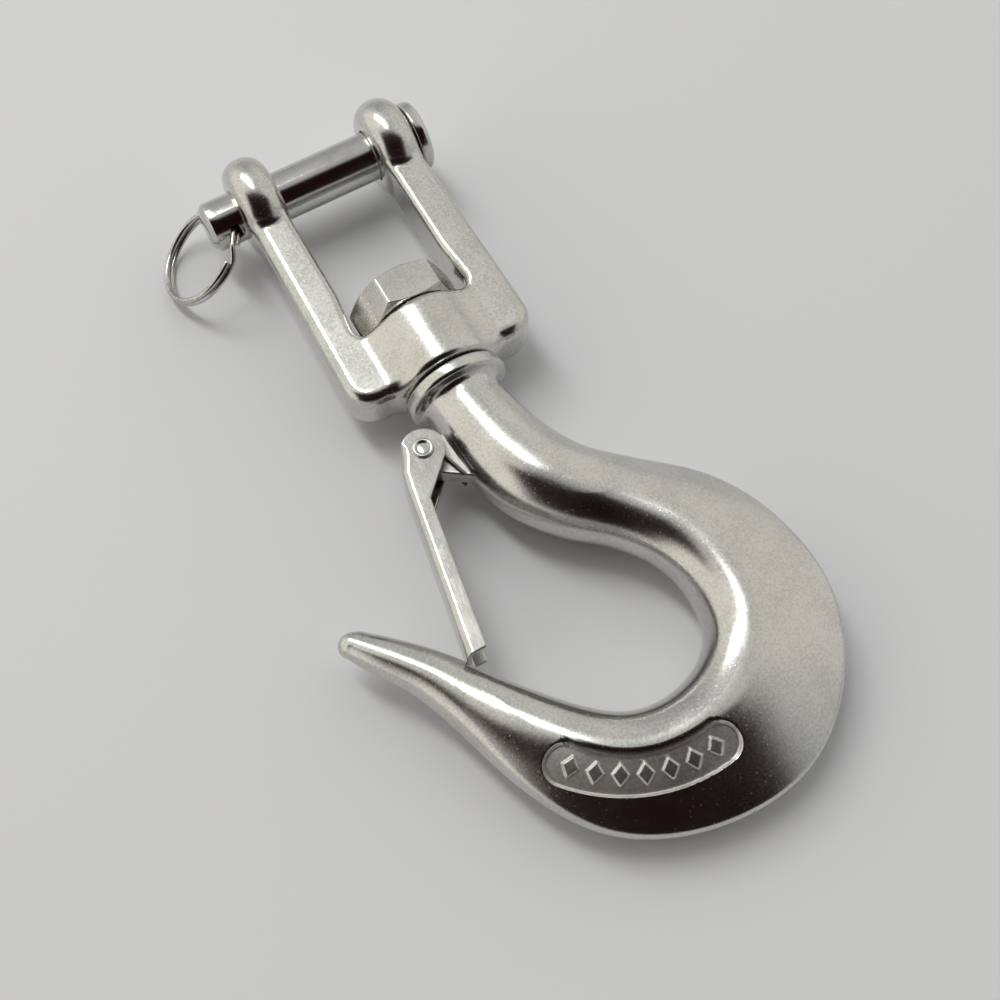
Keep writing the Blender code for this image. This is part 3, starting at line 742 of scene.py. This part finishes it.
@dataclass
class SplitRing:
    """Two close turns of spring wire through the pin's cross hole."""

    wire: float = 0.9
    radius: float = 8.0
    gap: float = 0.06
    pin_radius: float = 4.0
    hole_station: float = -17.0
    start: float = -24.0
    turned: float = 694.0
    crossing: tuple[float, float] = (336.0, 358.0)
    steps: int = 420

    def path(self, droop: float, hole: Vector) -> Array:
        """Return the wire's centreline.

        Args:
            droop: How far the ring hangs below the pin, in radians.
            hole: Unit vector along the cross hole.

        Returns:
            Points along the two turns and the crossing between them.
        """
        up = Vector((0.0, -hole.z, hole.y))
        outward = Vector((-math.cos(droop), 0.0, 0.0)) + math.sin(droop) * up
        reach = (self.radius + math.sqrt(self.radius**2 - self.pin_radius**2)) / 2
        centre = Vector((self.hole_station, 0, 0)) + outward * reach
        normal = hole.cross(outward)
        turned = np.linspace(0.0, self.turned, self.steps + 1)
        lift = (self.wire + self.gap) / 2 * (2 * smoothstep(*self.crossing, turned) - 1)
        angle = np.radians(self.start + turned)
        flat = np.outer(np.cos(angle), hole) + np.outer(np.sin(angle), outward)
        return np.array(centre) + self.radius * flat + np.outer(lift, normal)

    def droop(self, place: DesignFrame, hole: Vector) -> float:
        """Return the droop at which the ring reaches as low as its node does."""
        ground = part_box("split_ring")[0][2] + self.wire / 2 * MM
        low, high = 0.0, math.radians(85)
        row = np.array(place.matrix)[2]
        for _ in range(30):
            middle = (low + high) / 2
            height = (self.path(middle, hole) @ row[:3] + row[3]).min()
            low, high = (middle, high) if height > ground else (low, middle)
        return (low + high) / 2

    def build(
        self, place: DesignFrame, metal: bpy.types.Material, hole: Vector
    ) -> bpy.types.Object:
        """Make the ring and hang it on its body."""
        path = self.path(self.droop(place, hole), hole)
        piece = Shell.wire(path, self.wire / 2, 20).to_object("ring_wire")
        place.dress(piece, metal, 50.0)
        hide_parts("split_ring")
        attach(piece, "ring")
        return piece


@dataclass
class Nut:
    """The hexagon nut, chamfered at both ends, with its bore."""

    flats: float = 15.1
    bottom: float = -31.4
    top: float = -25.4
    turn: float = 54.4
    slope: float = 0.58
    bore: float = 4.6
    corner_roll: float = 0.25
    facets: int = 720

    def build(self, place: DesignFrame, metal: bpy.types.Material) -> bpy.types.Object:
        """Make the nut and hang it on its body."""
        angle = np.arange(self.facets) * 2 * np.pi / self.facets
        off = np.abs((angle + np.pi / 6) % (np.pi / 3) - np.pi / 6)
        face, soft = self.flats / 2 - 0.15, self.corner_roll
        side = self.flats / 2 / np.cos(off)
        corner = self.flats / math.sqrt(3) - soft * 0.35
        side = side - 0.5 * (side - corner + np.hypot(side - corner, 0.06)) * (off > 0.3)
        drop = (side - face) * self.slope
        blend = 0.10
        radii = [np.full(self.facets, r) for r in (self.bore + 0.35, face - 0.2, face - 0.03)]
        lifts = [np.zeros(self.facets), np.zeros(self.facets), np.full(self.facets, 0.01)]
        radii += [side - blend, side - 0.02, side, side]
        lifts += [drop - blend * self.slope, drop + 0.02, drop + blend, drop + 0.5]
        rims = [(self.bore, 0.35), (self.bore, 0.9)]
        rings = [self._ring(angle, np.full(self.facets, r), np.full(self.facets, self.bottom + up))
                 for r, up in rims[::-1]]
        rings += [self._ring(angle, r, self.bottom + up) for r, up in zip(radii, lifts)]
        rings += [self._ring(angle, r, self.top - up) for r, up in zip(radii[::-1], lifts[::-1])]
        rings += [self._ring(angle, np.full(self.facets, r), np.full(self.facets, self.top - up))
                  for r, up in rims]
        piece = Shell.loft(np.array(rings), closed=True).to_object("hex_nut")
        place.dress(piece, metal, 24.0)
        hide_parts("swivel_nut")
        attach(piece, "hook")
        return piece

    def _ring(self, angle: Array, radius: Array, station: Array) -> Array:
        """Return one ring of points round the swivel axis."""
        turned = angle + math.radians(self.turn + 30)
        return np.stack([radius * np.cos(turned), station, radius * np.sin(turned)], -1)


@dataclass
class Panel:
    """The sunken panel along the bowl's flank with its row of raised lozenges."""

    centre: Point = (1.6, -88.2)
    radius: float = 21.9
    width: float = 5.6
    start: float = 219.5
    end: float = 276.5
    depth: float = 0.7
    wall: float = 0.42
    count: int = 7
    lozenge_length: float = 2.4
    lozenge_width: float = 3.0
    lozenge_height: float = 0.35
    lozenge_wall: float = 0.18

    def relief(self, x: Array, y: Array) -> tuple[Array, Array]:
        """Return how far the flank sinks at each place, and where its floor is bare."""
        out = np.hypot(x - self.centre[0], y - self.centre[1])
        angle = np.degrees(np.arctan2(y - self.centre[1], x - self.centre[0])) % 360
        length = math.radians(self.end - self.start) * self.radius
        run = np.radians(angle - self.start) * self.radius
        beyond = np.maximum(np.maximum(-run, run - length), 0.0)
        inside = self.width / 2 - np.hypot(beyond, out - self.radius)
        sunk = smoothstep(-0.06, self.wall, inside)
        raised = np.zeros_like(sunk)
        for i in range(self.count):
            middle = (self.end - self.start) * (i + 0.25) / (self.count - 0.5)
            along = np.abs(run - math.radians(middle) * self.radius) / (self.lozenge_length / 2)
            across = np.abs(out - self.radius) / (self.lozenge_width / 2)
            edge = (1 - along - across) * self.lozenge_length / 2
            raised = np.maximum(raised, smoothstep(-0.05, self.lozenge_wall, edge))
        return self.depth * sunk - self.lozenge_height * raised, sunk * (1 - raised * 0.4)


@dataclass
class Hook:
    """The hook casting: shank, collar, neck, bowl, tip and the latch's lug."""

    panel: Panel = field(default_factory=Panel)
    shank_radius: float = 4.5
    shank_top: float = -25.1
    peen: float = 0.6
    collar_top: float = -43.8
    collar_bottom: float = -46.1
    collar_radius: float = 8.2
    collar_roll: float = 0.6
    collar_foot_roll: float = 0.8
    pivot: Point = (-9.75, -52.7)
    lug_radius: float = 2.45
    lug_thickness: float = 3.0
    rivet_hole: float = 1.45
    rim_edge: float = 50.0
    round_edge: float = 65.0
    swell: float = 0.35
    rim_points: int = 22
    flank_points: int = 84
    bead_points: int = 44
    under_points: int = 18
    tip_steps: int = 16
    fairing: int = 220
    # Ribs from the collar to the tip: inner point, outer point, bead radius
    # and rim radius. A rib whose radii are half its width is round.
    ribs: tuple[tuple[float, ...], ...] = (
        (-6.05, -48.4, 6.1, -48.4, 6.10, 6.10),
        (-5.9, -52.0, 6.8, -51.3, 6.35, 6.35),
        (-5.6, -56.0, 7.5, -54.0, 6.60, 6.60),
        (-4.9, -61.0, 8.3, -56.6, 6.95, 6.95),
        (-3.2, -66.0, 9.5, -59.3, 7.15, 7.15),
        (-0.4, -70.4, 11.0, -61.9, 7.10, 7.10),
        (2.9, -74.1, 12.8, -64.1, 6.95, 6.60),
        (6.2, -76.9, 15.4, -66.4, 6.80, 5.40),
        (9.0, -80.0, 19.4, -69.8, 6.60, 3.60),
        (11.2, -83.6, 24.6, -74.6, 6.45, 2.20),
        (12.4, -87.6, 28.9, -81.4, 6.35, 1.60),
        (12.5, -91.6, 31.1, -89.2, 6.30, 1.50),
        (11.5, -95.2, 31.2, -97.6, 6.30, 1.50),
        (9.0, -98.0, 28.0, -106.2, 6.30, 1.50),
        (5.4, -99.8, 21.3, -114.0, 6.30, 1.50),
        (1.2, -100.5, 11.7, -118.9, 6.30, 1.50),
        (-2.4, -100.0, 0.6, -119.1, 6.20, 1.50),
        (-5.4, -98.6, -8.6, -116.3, 6.00, 1.55),
        (-8.4, -96.1, -15.6, -111.2, 5.70, 1.70),
        (-11.5, -92.8, -20.4, -103.7, 5.25, 2.20),
        (-14.5, -89.2, -23.2, -96.4, 4.75, 3.20),
        (-17.5, -85.4, -25.3, -89.6, 4.20, 3.90),
        (-20.4, -81.3, -27.5, -84.0, 3.75, 3.70),
        (-23.6, -77.6, -29.8, -80.0, 3.30, 3.25),
        (-26.6, -74.6, -31.9, -76.8, 2.85, 2.80),
        (-29.3, -72.2, -33.6, -73.9, 2.35, 2.30),
    )
    fine_ribs: tuple[int, int] = (14, 20)
    fine_steps: int = 42
    plain_steps: int = 12

    def section(self, width: float, bead: float, rim: float) -> Array:
        """Return the outline across the hook: rim, flank, bead and underside.

        Args:
            width: From the inner to the outer edge.
            bead: Radius of the round inner edge.
            rim: Radius of the outer edge.

        Returns:
            Distance from the inner edge, and height, of each point.
        """
        roundness = min(1.0, max(0.0, (rim / bead - 0.3) / 0.6))
        edge = self.rim_edge + (self.round_edge - self.rim_edge) * roundness
        rim_arc = arc((width - rim, 0.0), rim, -edge, edge, self.rim_points)
        u, v = rim_arc[-1][0] - bead, rim_arc[-1][1]
        reach = max(math.hypot(u, v), bead)
        tangent = math.degrees(math.atan2(v, u) + math.acos(min(1.0, bead / reach)))
        touch = tangent + (180 - self.round_edge - tangent) * roundness
        bead_arc = arc((bead, 0.0), bead, touch, 360 - touch, self.bead_points)
        full = bead * (1 - math.sin(math.radians(self.round_edge)))
        swell = self.swell + (full - self.swell) * roundness
        top = self._flank(rim_arc[-1], bead_arc[0], swell, self.flank_points)
        under = self._flank(rim_arc[-1], bead_arc[0], swell, self.under_points)
        under = under[::-1] * np.array([1.0, -1.0])
        ring = np.concatenate([rim_arc, top, bead_arc, under])
        for _ in range(2):
            ring = (np.roll(ring, 1, 0) + 2 * ring + np.roll(ring, -1, 0)) / 4
        return ring

    @staticmethod
    def _flank(start: Point, end: Point, swell: float, count: int) -> Array:
        """Return points between two ends, bowed up in the middle."""
        share = (np.arange(count) + 1) / (count + 1)
        line = np.outer(1 - share, start) + np.outer(share, end)
        line[:, 1] += 4 * swell * share * (1 - share)
        return line

    def bowl_rings(self) -> Array:
        """Return the rings from the collar's foot to the point of the tip."""
        ribs = np.array(self.ribs)
        last = len(ribs) - 1
        knots = natural_spline(ribs, np.arange(last * self.plain_steps + 1) / self.plain_steps)
        widths = np.linalg.norm(knots[:, 2:4] - knots[:, 0:2], axis=1)
        shapes = np.array([self.section(w, *radii) / w for w, radii in zip(widths, knots[:, 4:6])])
        for _ in range(self.fairing):
            shapes[1:-1] = (shapes[:-2] + 2 * shapes[1:-1] + shapes[2:]) / 4
        steps = []
        for i in range(last):
            fine = self.fine_ribs[0] <= i < self.fine_ribs[1]
            number = self.fine_steps if fine else self.plain_steps
            steps += [i + k / number for k in range(number)]
        places = np.array(steps + [float(last)])
        rows = natural_spline(ribs, places)
        across = rows[:, 2:4] - rows[:, 0:2]
        width = np.linalg.norm(across, axis=1)
        flat = natural_spline(shapes.reshape(len(shapes), -1), places * self.plain_steps)
        outlines = flat.reshape(len(places), *shapes.shape[1:])
        plan = rows[:, None, 0:2] + outlines[..., :1] * across[:, None, :]
        return np.concatenate([plan, outlines[..., 1:] * width[:, None, None]], -1)

    def tip_rings(self, end: Array, before: Array) -> list[Array]:
        """Return the rings that round the tip off beyond the last rib."""
        middle = end.mean(0)
        ahead = middle - before.mean(0)
        ahead /= np.linalg.norm(ahead)
        reach = self.ribs[-1][4]
        turns = [math.pi / 2 * i / self.tip_steps for i in range(1, self.tip_steps)]
        return [
            middle + (end - middle) * math.cos(turn) + ahead * reach * math.sin(turn)
            for turn in turns
        ]

    def shank_rings(self, first: Array) -> list[Array]:
        """Return the round rings of the shank and collar above the first rib."""
        radius, top = self.shank_radius, self.shank_top
        neck = self.ribs[0][4]
        profile = [(top - 0.25, 0.02), (top - 0.2, 1.0), (top - 0.02, 1.9), (top, 2.2)]
        profile += [(top - drop, radius - inset) for inset, drop in edge_roll(self.peen, 6)]
        profile += [(self.collar_top + 0.15, radius), (self.collar_top, radius + 0.15)]
        collar, upper = self.collar_radius, edge_roll(self.collar_roll, 6)
        lower = edge_roll(self.collar_foot_roll, 8)[::-1]
        profile += [(self.collar_top - drop, collar - inset) for inset, drop in upper]
        profile += [(self.collar_bottom + drop, collar - inset) for inset, drop in lower]
        fillet = collar - self.collar_foot_roll - neck
        for i in range(1, 9):
            turn = math.pi / 2 * i / 9
            station = self.collar_bottom - fillet * (1 - math.cos(turn))
            profile.append((station, neck + fillet * (1 - math.sin(turn))))
        middle = first.mean(0)
        angle = np.arctan2(first[:, 2], first[:, 0] - middle[0])
        round_ring = np.stack([np.cos(angle), np.zeros_like(angle), np.sin(angle)], -1)
        return [round_ring * r + np.array([0.0, station, 0.0]) for station, r in profile]

    def mark(self, rings: Array) -> Array:
        """Sink the panel into the upper flank, and return where its floor is rough."""
        start = self.rim_points + 1
        flat = slice(start, start + self.flank_points + self.bead_points // 2)
        top = rings[:, flat]
        sink, rough = self.panel.relief(top[..., 0], top[..., 1])
        top[..., 2] -= sink
        floor = np.zeros(rings.shape[:2])
        floor[:, flat] = rough
        return floor

    def lug(self) -> bpy.types.Object:
        """Return the fin that carries the latch, drilled for the rivet."""
        corners = [(-3.0, -60.5), (-3.0, -50.7)] + arc(self.pivot, self.lug_radius, 113, 237, 20)
        thick = self.lug_thickness / 2

        def distance(x: Array, y: Array, z: Array) -> Array:
            """Return the signed distance to the drilled fin."""
            fin = round_both(outline_distance(x, y, corners), np.abs(z) - thick, 0.3)
            hole = self.rivet_hole - np.hypot(x - self.pivot[0], y - self.pivot[1])
            return round_both(fin, hole, 0.12)

        carving = Carving(distance, (-12.3, -60.6, -1.6), (-2.9, -47.1, 1.6), 0.16)
        return carving.shell().to_object("lug")

    def build(self, place: DesignFrame, metal: bpy.types.Material) -> bpy.types.Object:
        """Make the hook and hang it on its body."""
        bowl = self.bowl_rings()
        floor = self.mark(bowl)
        above = self.shank_rings(bowl[0])
        beyond = self.tip_rings(bowl[-1], bowl[-2])
        rings = np.concatenate([above, bowl, beyond])
        rough = np.zeros(rings.shape[:2])
        rough[len(above):len(above) + len(bowl)] = floor
        piece = Shell.loft(rings).to_object("hook_casting")
        mask = piece.data.attributes.new("rough_cast", "FLOAT", "POINT")
        mask.data.foreach_set("value", rough.ravel())
        combine(piece, self.lug(), Cut.JOIN)
        place.dress(piece, metal, 60.0)
        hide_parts("hook_body")
        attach(piece, "hook")
        return piece


@dataclass
class Latch:
    """The stamped latch: two cheeks with round heads and a folded web."""

    pivot: Point = (-9.75, -52.7)
    width: float = 8.2
    sheet: float = 0.8
    head_radius: float = 3.3
    lug_room: float = 2.75
    rivet_hole: float = 1.35
    bend: float = 1.15
    inner_bend: float = 0.4
    sheared: float = 0.14
    step: float = 0.13
    web_edge: tuple[Point, ...] = (
        (-13.0, -52.2), (-14.25, -54.6), (-14.85, -57.4), (-19.67, -84.9)
    )
    foot: tuple[Point, ...] = ((-16.48, -84.9), (-12.45, -60.0))
    foot_end: float = -83.1

    def wall(self) -> list[Point]:
        """Return the web's inner side, one sheet in from its outer edge."""
        points = np.array(self.web_edge)
        ahead = np.gradient(points, axis=0)
        ahead /= np.linalg.norm(ahead, axis=1)[:, None]
        inner = points + np.stack([-ahead[:, 1], ahead[:, 0]], -1) * self.sheet
        return [tuple(point) for point in inner]

    def distance(self, x: Array, y: Array, z: Array) -> Array:
        """Return the signed distance to the folded sheet."""
        px, py = self.pivot
        head = arc(self.pivot, self.head_radius, -46, 170, 40)
        cheek = head + list(self.web_edge) + list(self.foot)
        edge = np.full(np.broadcast_shapes(np.shape(x), np.shape(y)), 1e9)
        for (x0, y0), (x1, y1) in zip(self.web_edge, self.web_edge[1:]):
            ex, ey = x1 - x0, y1 - y0
            along = np.clip(((x - x0) * ex + (y - y0) * ey) / (ex * ex + ey * ey), 0.0, 1.0)
            edge = np.minimum(edge, np.hypot(x - x0 - ex * along, y - y0 - ey * along))
        roll = self.bend + (self.sheared - self.bend) * smoothstep(1.1, 2.0, edge)
        body = round_both(outline_distance(x, y, cheek), np.abs(z) - self.width / 2, roll)
        body = round_both(body, self.foot_end - y, self.sheared)
        wall = self.wall()
        top, low = (wall[0][0] + 1.2, -40.0), (wall[-1][0] - 0.4, -90.0)
        channel = [(4.0, -40.0), top, *wall, low, (4.0, -90.0)]
        within = np.abs(z) - (self.width / 2 - self.sheet)
        room = round_both(outline_distance(x, y, channel), within, self.inner_bend)
        from_pivot = np.hypot(x - px, y - py)
        room = np.minimum(room, np.maximum(from_pivot - self.lug_room, within))
        body = round_both(body, -room, self.sheared)
        return round_both(body, self.rivet_hole - from_pivot, 0.1)

    def build(self, place: DesignFrame, metal: bpy.types.Material) -> bpy.types.Object:
        """Make the latch and hang it on its body."""
        low = (-19.6, -83.4, -self.width / 2)
        high = (-6.3, -49.2, self.width / 2)
        piece = Carving(self.distance, low, high, self.step).shell().to_object("latch_sheet")
        place.dress(piece, metal, 60.0)
        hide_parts("latch")
        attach(piece, "latch")
        return piece


@dataclass
class Rivet:
    """The tubular rivet, its ends rolled over outside the cheeks."""

    pivot: Point = (-9.75, -52.7)
    radius: float = 1.25
    head_radius: float = 1.6
    under_head: float = 4.12
    head_height: float = 0.4
    recess: float = 0.3
    facets: int = 96

    def build(self, place: DesignFrame, metal: bpy.types.Material) -> bpy.types.Object:
        """Make the rivet and hang it on its body."""
        under, end = self.under_head, self.under_head + self.head_height
        crown = [(end - drop, self.head_radius - inset) for inset, drop in edge_roll(0.3, 6)[::-1]]
        half = [(0.0, self.radius), (under, self.radius), (under, self.head_radius - 0.05)]
        half += [(under + 0.05, self.head_radius)] + crown
        floor = end - self.recess
        half += [(end - 0.01, 1.15), (end - 0.08, 1.05), (floor + 0.08, 0.9)]
        half += [(floor, 0.8), (floor + 0.06, 0.35), (floor + 0.08, 0.0)]
        profile = [(-z, r) for z, r in half[:0:-1]] + half[1:]
        shell = Shell.turned(profile, self.facets).upright(*self.pivot).facing_out()
        piece = shell.to_object("rivet_tube")
        place.dress(piece, metal, 35.0)
        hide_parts("latch_rivet")
        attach(piece, "latch")
        return piece


@dataclass
class LatchSpring:
    """The double torsion spring: a coil each side of the lug, and a crossbar."""

    pivot: Point = (-9.75, -52.7)
    wire: float = 0.6
    radius: float = 1.95
    lug_half: float = 1.5
    cheek_inner: float = 3.3
    free_end: Point = (-5.95, -58.4)
    bar: Point = (-13.95, -60.6)
    bar_corner: float = 0.6
    lug_gap: float = 0.08
    cheek_gap: float = 0.1
    steps: int = 150

    def half_path(self) -> list[Point]:
        """Return one side: the free arm, the coil and the leg to the crossbar."""
        low = self.lug_half + self.wire / 2 + self.lug_gap
        rise = self.cheek_inner - self.wire / 2 - self.cheek_gap - low
        turns = []
        for place, sign in ((self.free_end, 1), (self.bar, -1)):
            dx, dy = place[0] - self.pivot[0], place[1] - self.pivot[1]
            lead = math.acos(self.radius / math.hypot(dx, dy))
            turns.append(math.degrees(math.atan2(dy, dx) + sign * lead))
        start, end = turns[0], turns[1] + 720
        path = [(*self.free_end, low)]
        for i in range(self.steps + 1):
            x, y = polar(self.radius, start + (end - start) * i / self.steps, self.pivot)
            path.append((x, y, low + rise * i / self.steps))
        last = np.array(path[-1][:2])
        corner, bar = self.bar_corner, np.array(self.bar)
        back = (last - bar) / np.linalg.norm(last - bar)
        for i in range(7):
            turn = math.pi / 2 * i / 6
            x, y = bar + back * corner * (1 - math.sin(turn))
            path.append((x, y, low + rise - corner * (1 - math.cos(turn))))
        return path

    def build(self, place: DesignFrame, metal: bpy.types.Material) -> bpy.types.Object:
        """Make the spring and bake its place into its points; it is hung on neither the hook nor
        the latch.
        """
        half = self.half_path()
        path = np.array(half + [(x, y, -z) for x, y, z in half[::-1]])
        piece = Shell.wire(path, self.wire / 2, 16).to_object("spring_wire")
        place.dress(piece, metal, 50.0)
        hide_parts("latch_spring")
        start = place.world((self.pivot[0] + self.radius, self.pivot[1] - 1.0, 0.0))
        end = place.world((self.pivot[0] - self.radius, self.pivot[1] - 2.2, 0.0))
        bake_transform(piece)
        return piece


# ---------------------------------------------------------------- studio


@dataclass(frozen=True)
class Lamp:
    """One soft rectangular light.

    Attributes:
        name: What to call it.
        spot: Where it hangs, in metres.
        size: Its width and height, in metres.
        power: Watts.
        colour: Its colour.
    """

    name: str
    spot: Point
    size: Point
    power: float
    colour: Point = (1.0, 0.99, 0.96)

    def hang(self) -> None:
        """Hang the light, facing the middle of the table."""
        lamp = bpy.data.lights.new(self.name, "AREA")
        lamp.shape = "RECTANGLE"
        lamp.size, lamp.size_y = self.size
        lamp.energy, lamp.color = self.power, self.colour
        held = bpy.data.objects.new(self.name, lamp)
        bpy.context.scene.collection.objects.link(held)
        held.location = self.spot
        held.rotation_mode = "QUATERNION"
        held.rotation_quaternion = (-Vector(self.spot)).to_track_quat("-Z", "Y")
        held.visible_camera = False


@dataclass
class Studio:
    """A plain pale table, one soft light above it, the room and the camera."""

    azimuth: float = 240.46
    elevation: float = 67.27
    distance: float = 189.64
    target: Point = (-3.21, -63.75, 0.0)
    lens: float = 46.80
    table: float = 4.0
    table_colour: Point = (0.80, 0.81, 0.84)
    room: float = 1.0
    ceiling: Point = (0.47, 0.475, 0.48)
    window: Point = (0.98, 0.95, 0.87)
    photographer: Point = (0.012, 0.004, 0.004)
    lamps: tuple[Lamp, ...] = (
        Lamp("overhead", (-0.115, 0.40, 0.75), (0.14, 0.62), 2.3),
    )

    def camera(self, place: DesignFrame) -> None:
        """Aim the camera at the hook."""
        level = math.cos(math.radians(self.elevation))
        back = Vector((*polar(level, self.azimuth), math.sin(math.radians(self.elevation))))
        right = Vector((0.0, 0.0, 1.0)).cross(back).normalized()
        basis = Matrix((right, back.cross(right), back)).transposed().to_4x4()
        camera = bpy.data.objects.new("camera", bpy.data.cameras.new("camera"))
        bpy.context.scene.collection.objects.link(camera)
        spot = Vector(self.target) + back * self.distance
        turn = place.matrix.to_quaternion().to_matrix().to_4x4()
        camera.matrix_world = Matrix.Translation(place.world(spot)) @ turn @ basis
        camera.data.lens = self.lens
        camera.data.sensor_width = 36.0
        camera.data.clip_start, camera.data.clip_end = 0.01, 20.0
        bpy.context.scene.camera = camera

    def floor(self) -> None:
        """Lay the pale table that the hook lies on."""
        mesh = bpy.data.meshes.new("table")
        reach = self.table / 2
        corners = [(-reach, -reach, 0), (reach, -reach, 0), (reach, reach, 0), (-reach, reach, 0)]
        mesh.from_pydata(corners, [], [(0, 1, 2, 3)])
        table = bpy.data.objects.new("table", mesh)
        bpy.context.scene.collection.objects.link(table)
        material = bpy.data.materials.new("table_card")
        material.use_nodes = True
        graph = Graph(material.node_tree)
        colour = (*self.table_colour, 1.0)
        inputs = {"Base Color": colour, "Roughness": 0.6, "Specular IOR Level": 0.2}
        shader = graph.node("ShaderNodeBsdfPrincipled", {}, inputs)
        graph.node("ShaderNodeOutputMaterial", {}, {"Surface": shader})
        mesh.materials.append(material)

    def world(self) -> None:
        """Paint the room: grey above, pale to both sides, dark where the camera stands."""
        world = bpy.data.worlds.new("room")
        bpy.context.scene.world = world
        world.use_nodes = True
        graph = Graph(world.node_tree)
        way = graph.node("ShaderNodeTexCoord", {}, {}, "Generated")

        def towards(direction: Point) -> Signal:
            """Return the cosine between the view and a direction."""
            unit = tuple(Vector(direction).normalized())
            inputs = {0: way, 1: unit}
            return graph.node("ShaderNodeVectorMath", {"operation": "DOT_PRODUCT"}, inputs, "Value")

        front, aside = towards((-0.36, -0.93, 0.0)), towards((0.93, -0.36, 0.0))
        narrow = 1 - (aside * aside).over(0.34, 0.62)
        height = towards((0.0, 0.0, 1.0))
        body = front.over(0.06, 0.22) * narrow * height.over(0.06, 0.24)
        left = towards((-0.88, 0.40, 0.30)).over(0.35, 0.85)
        right = towards((0.80, 0.20, 0.56)).over(0.55, 0.95)
        pale = left + right * 0.6
        colour = graph.mixed(pale, self.ceiling, self.window)
        shade = graph.mixed(body, colour, self.photographer)
        ground = graph.node("ShaderNodeBackground", {}, {"Color": shade, "Strength": self.room})
        graph.node("ShaderNodeOutputWorld", {}, {"Surface": ground})

    def build(self, place: DesignFrame) -> None:
        """Set up the camera, the table, the room and the lights."""
        self.camera(place)
        self.floor()
        self.world()
        for lamp in self.lamps:
            lamp.hang()
        bpy.context.scene.view_settings.view_transform = "Standard"


def main() -> None:
    """Build the studio and every piece."""
    logging.basicConfig(level=logging.INFO, format="%(name)s: %(message)s")
    place = DesignFrame.from_joints(frame["joints"])
    turn = place.matrix.to_3x3().normalized()
    hole_world = next(Vector(j["axis"]) for j in frame["joints"] if j["name"] == "ring_swing")
    hole = turn.inverted() @ hole_world
    up = turn @ Vector((0.0, 0.0, 1.0))

    Studio().build(place)
    cast = CastFinish("cast_steel").material(up)
    polished, machined, sheet, wire, black, rolled = (finish.material() for finish in WORN)

    Jaw().build(place, cast)
    Pin().build(place, polished, hole)
    SplitRing().build(place, wire, hole)
    Nut().build(place, machined)
    Hook().build(place, cast)
    Latch().build(place, sheet)
    Rivet().build(place, rolled)
    LatchSpring().build(place, black)


if __name__ == "__main__":
    main()
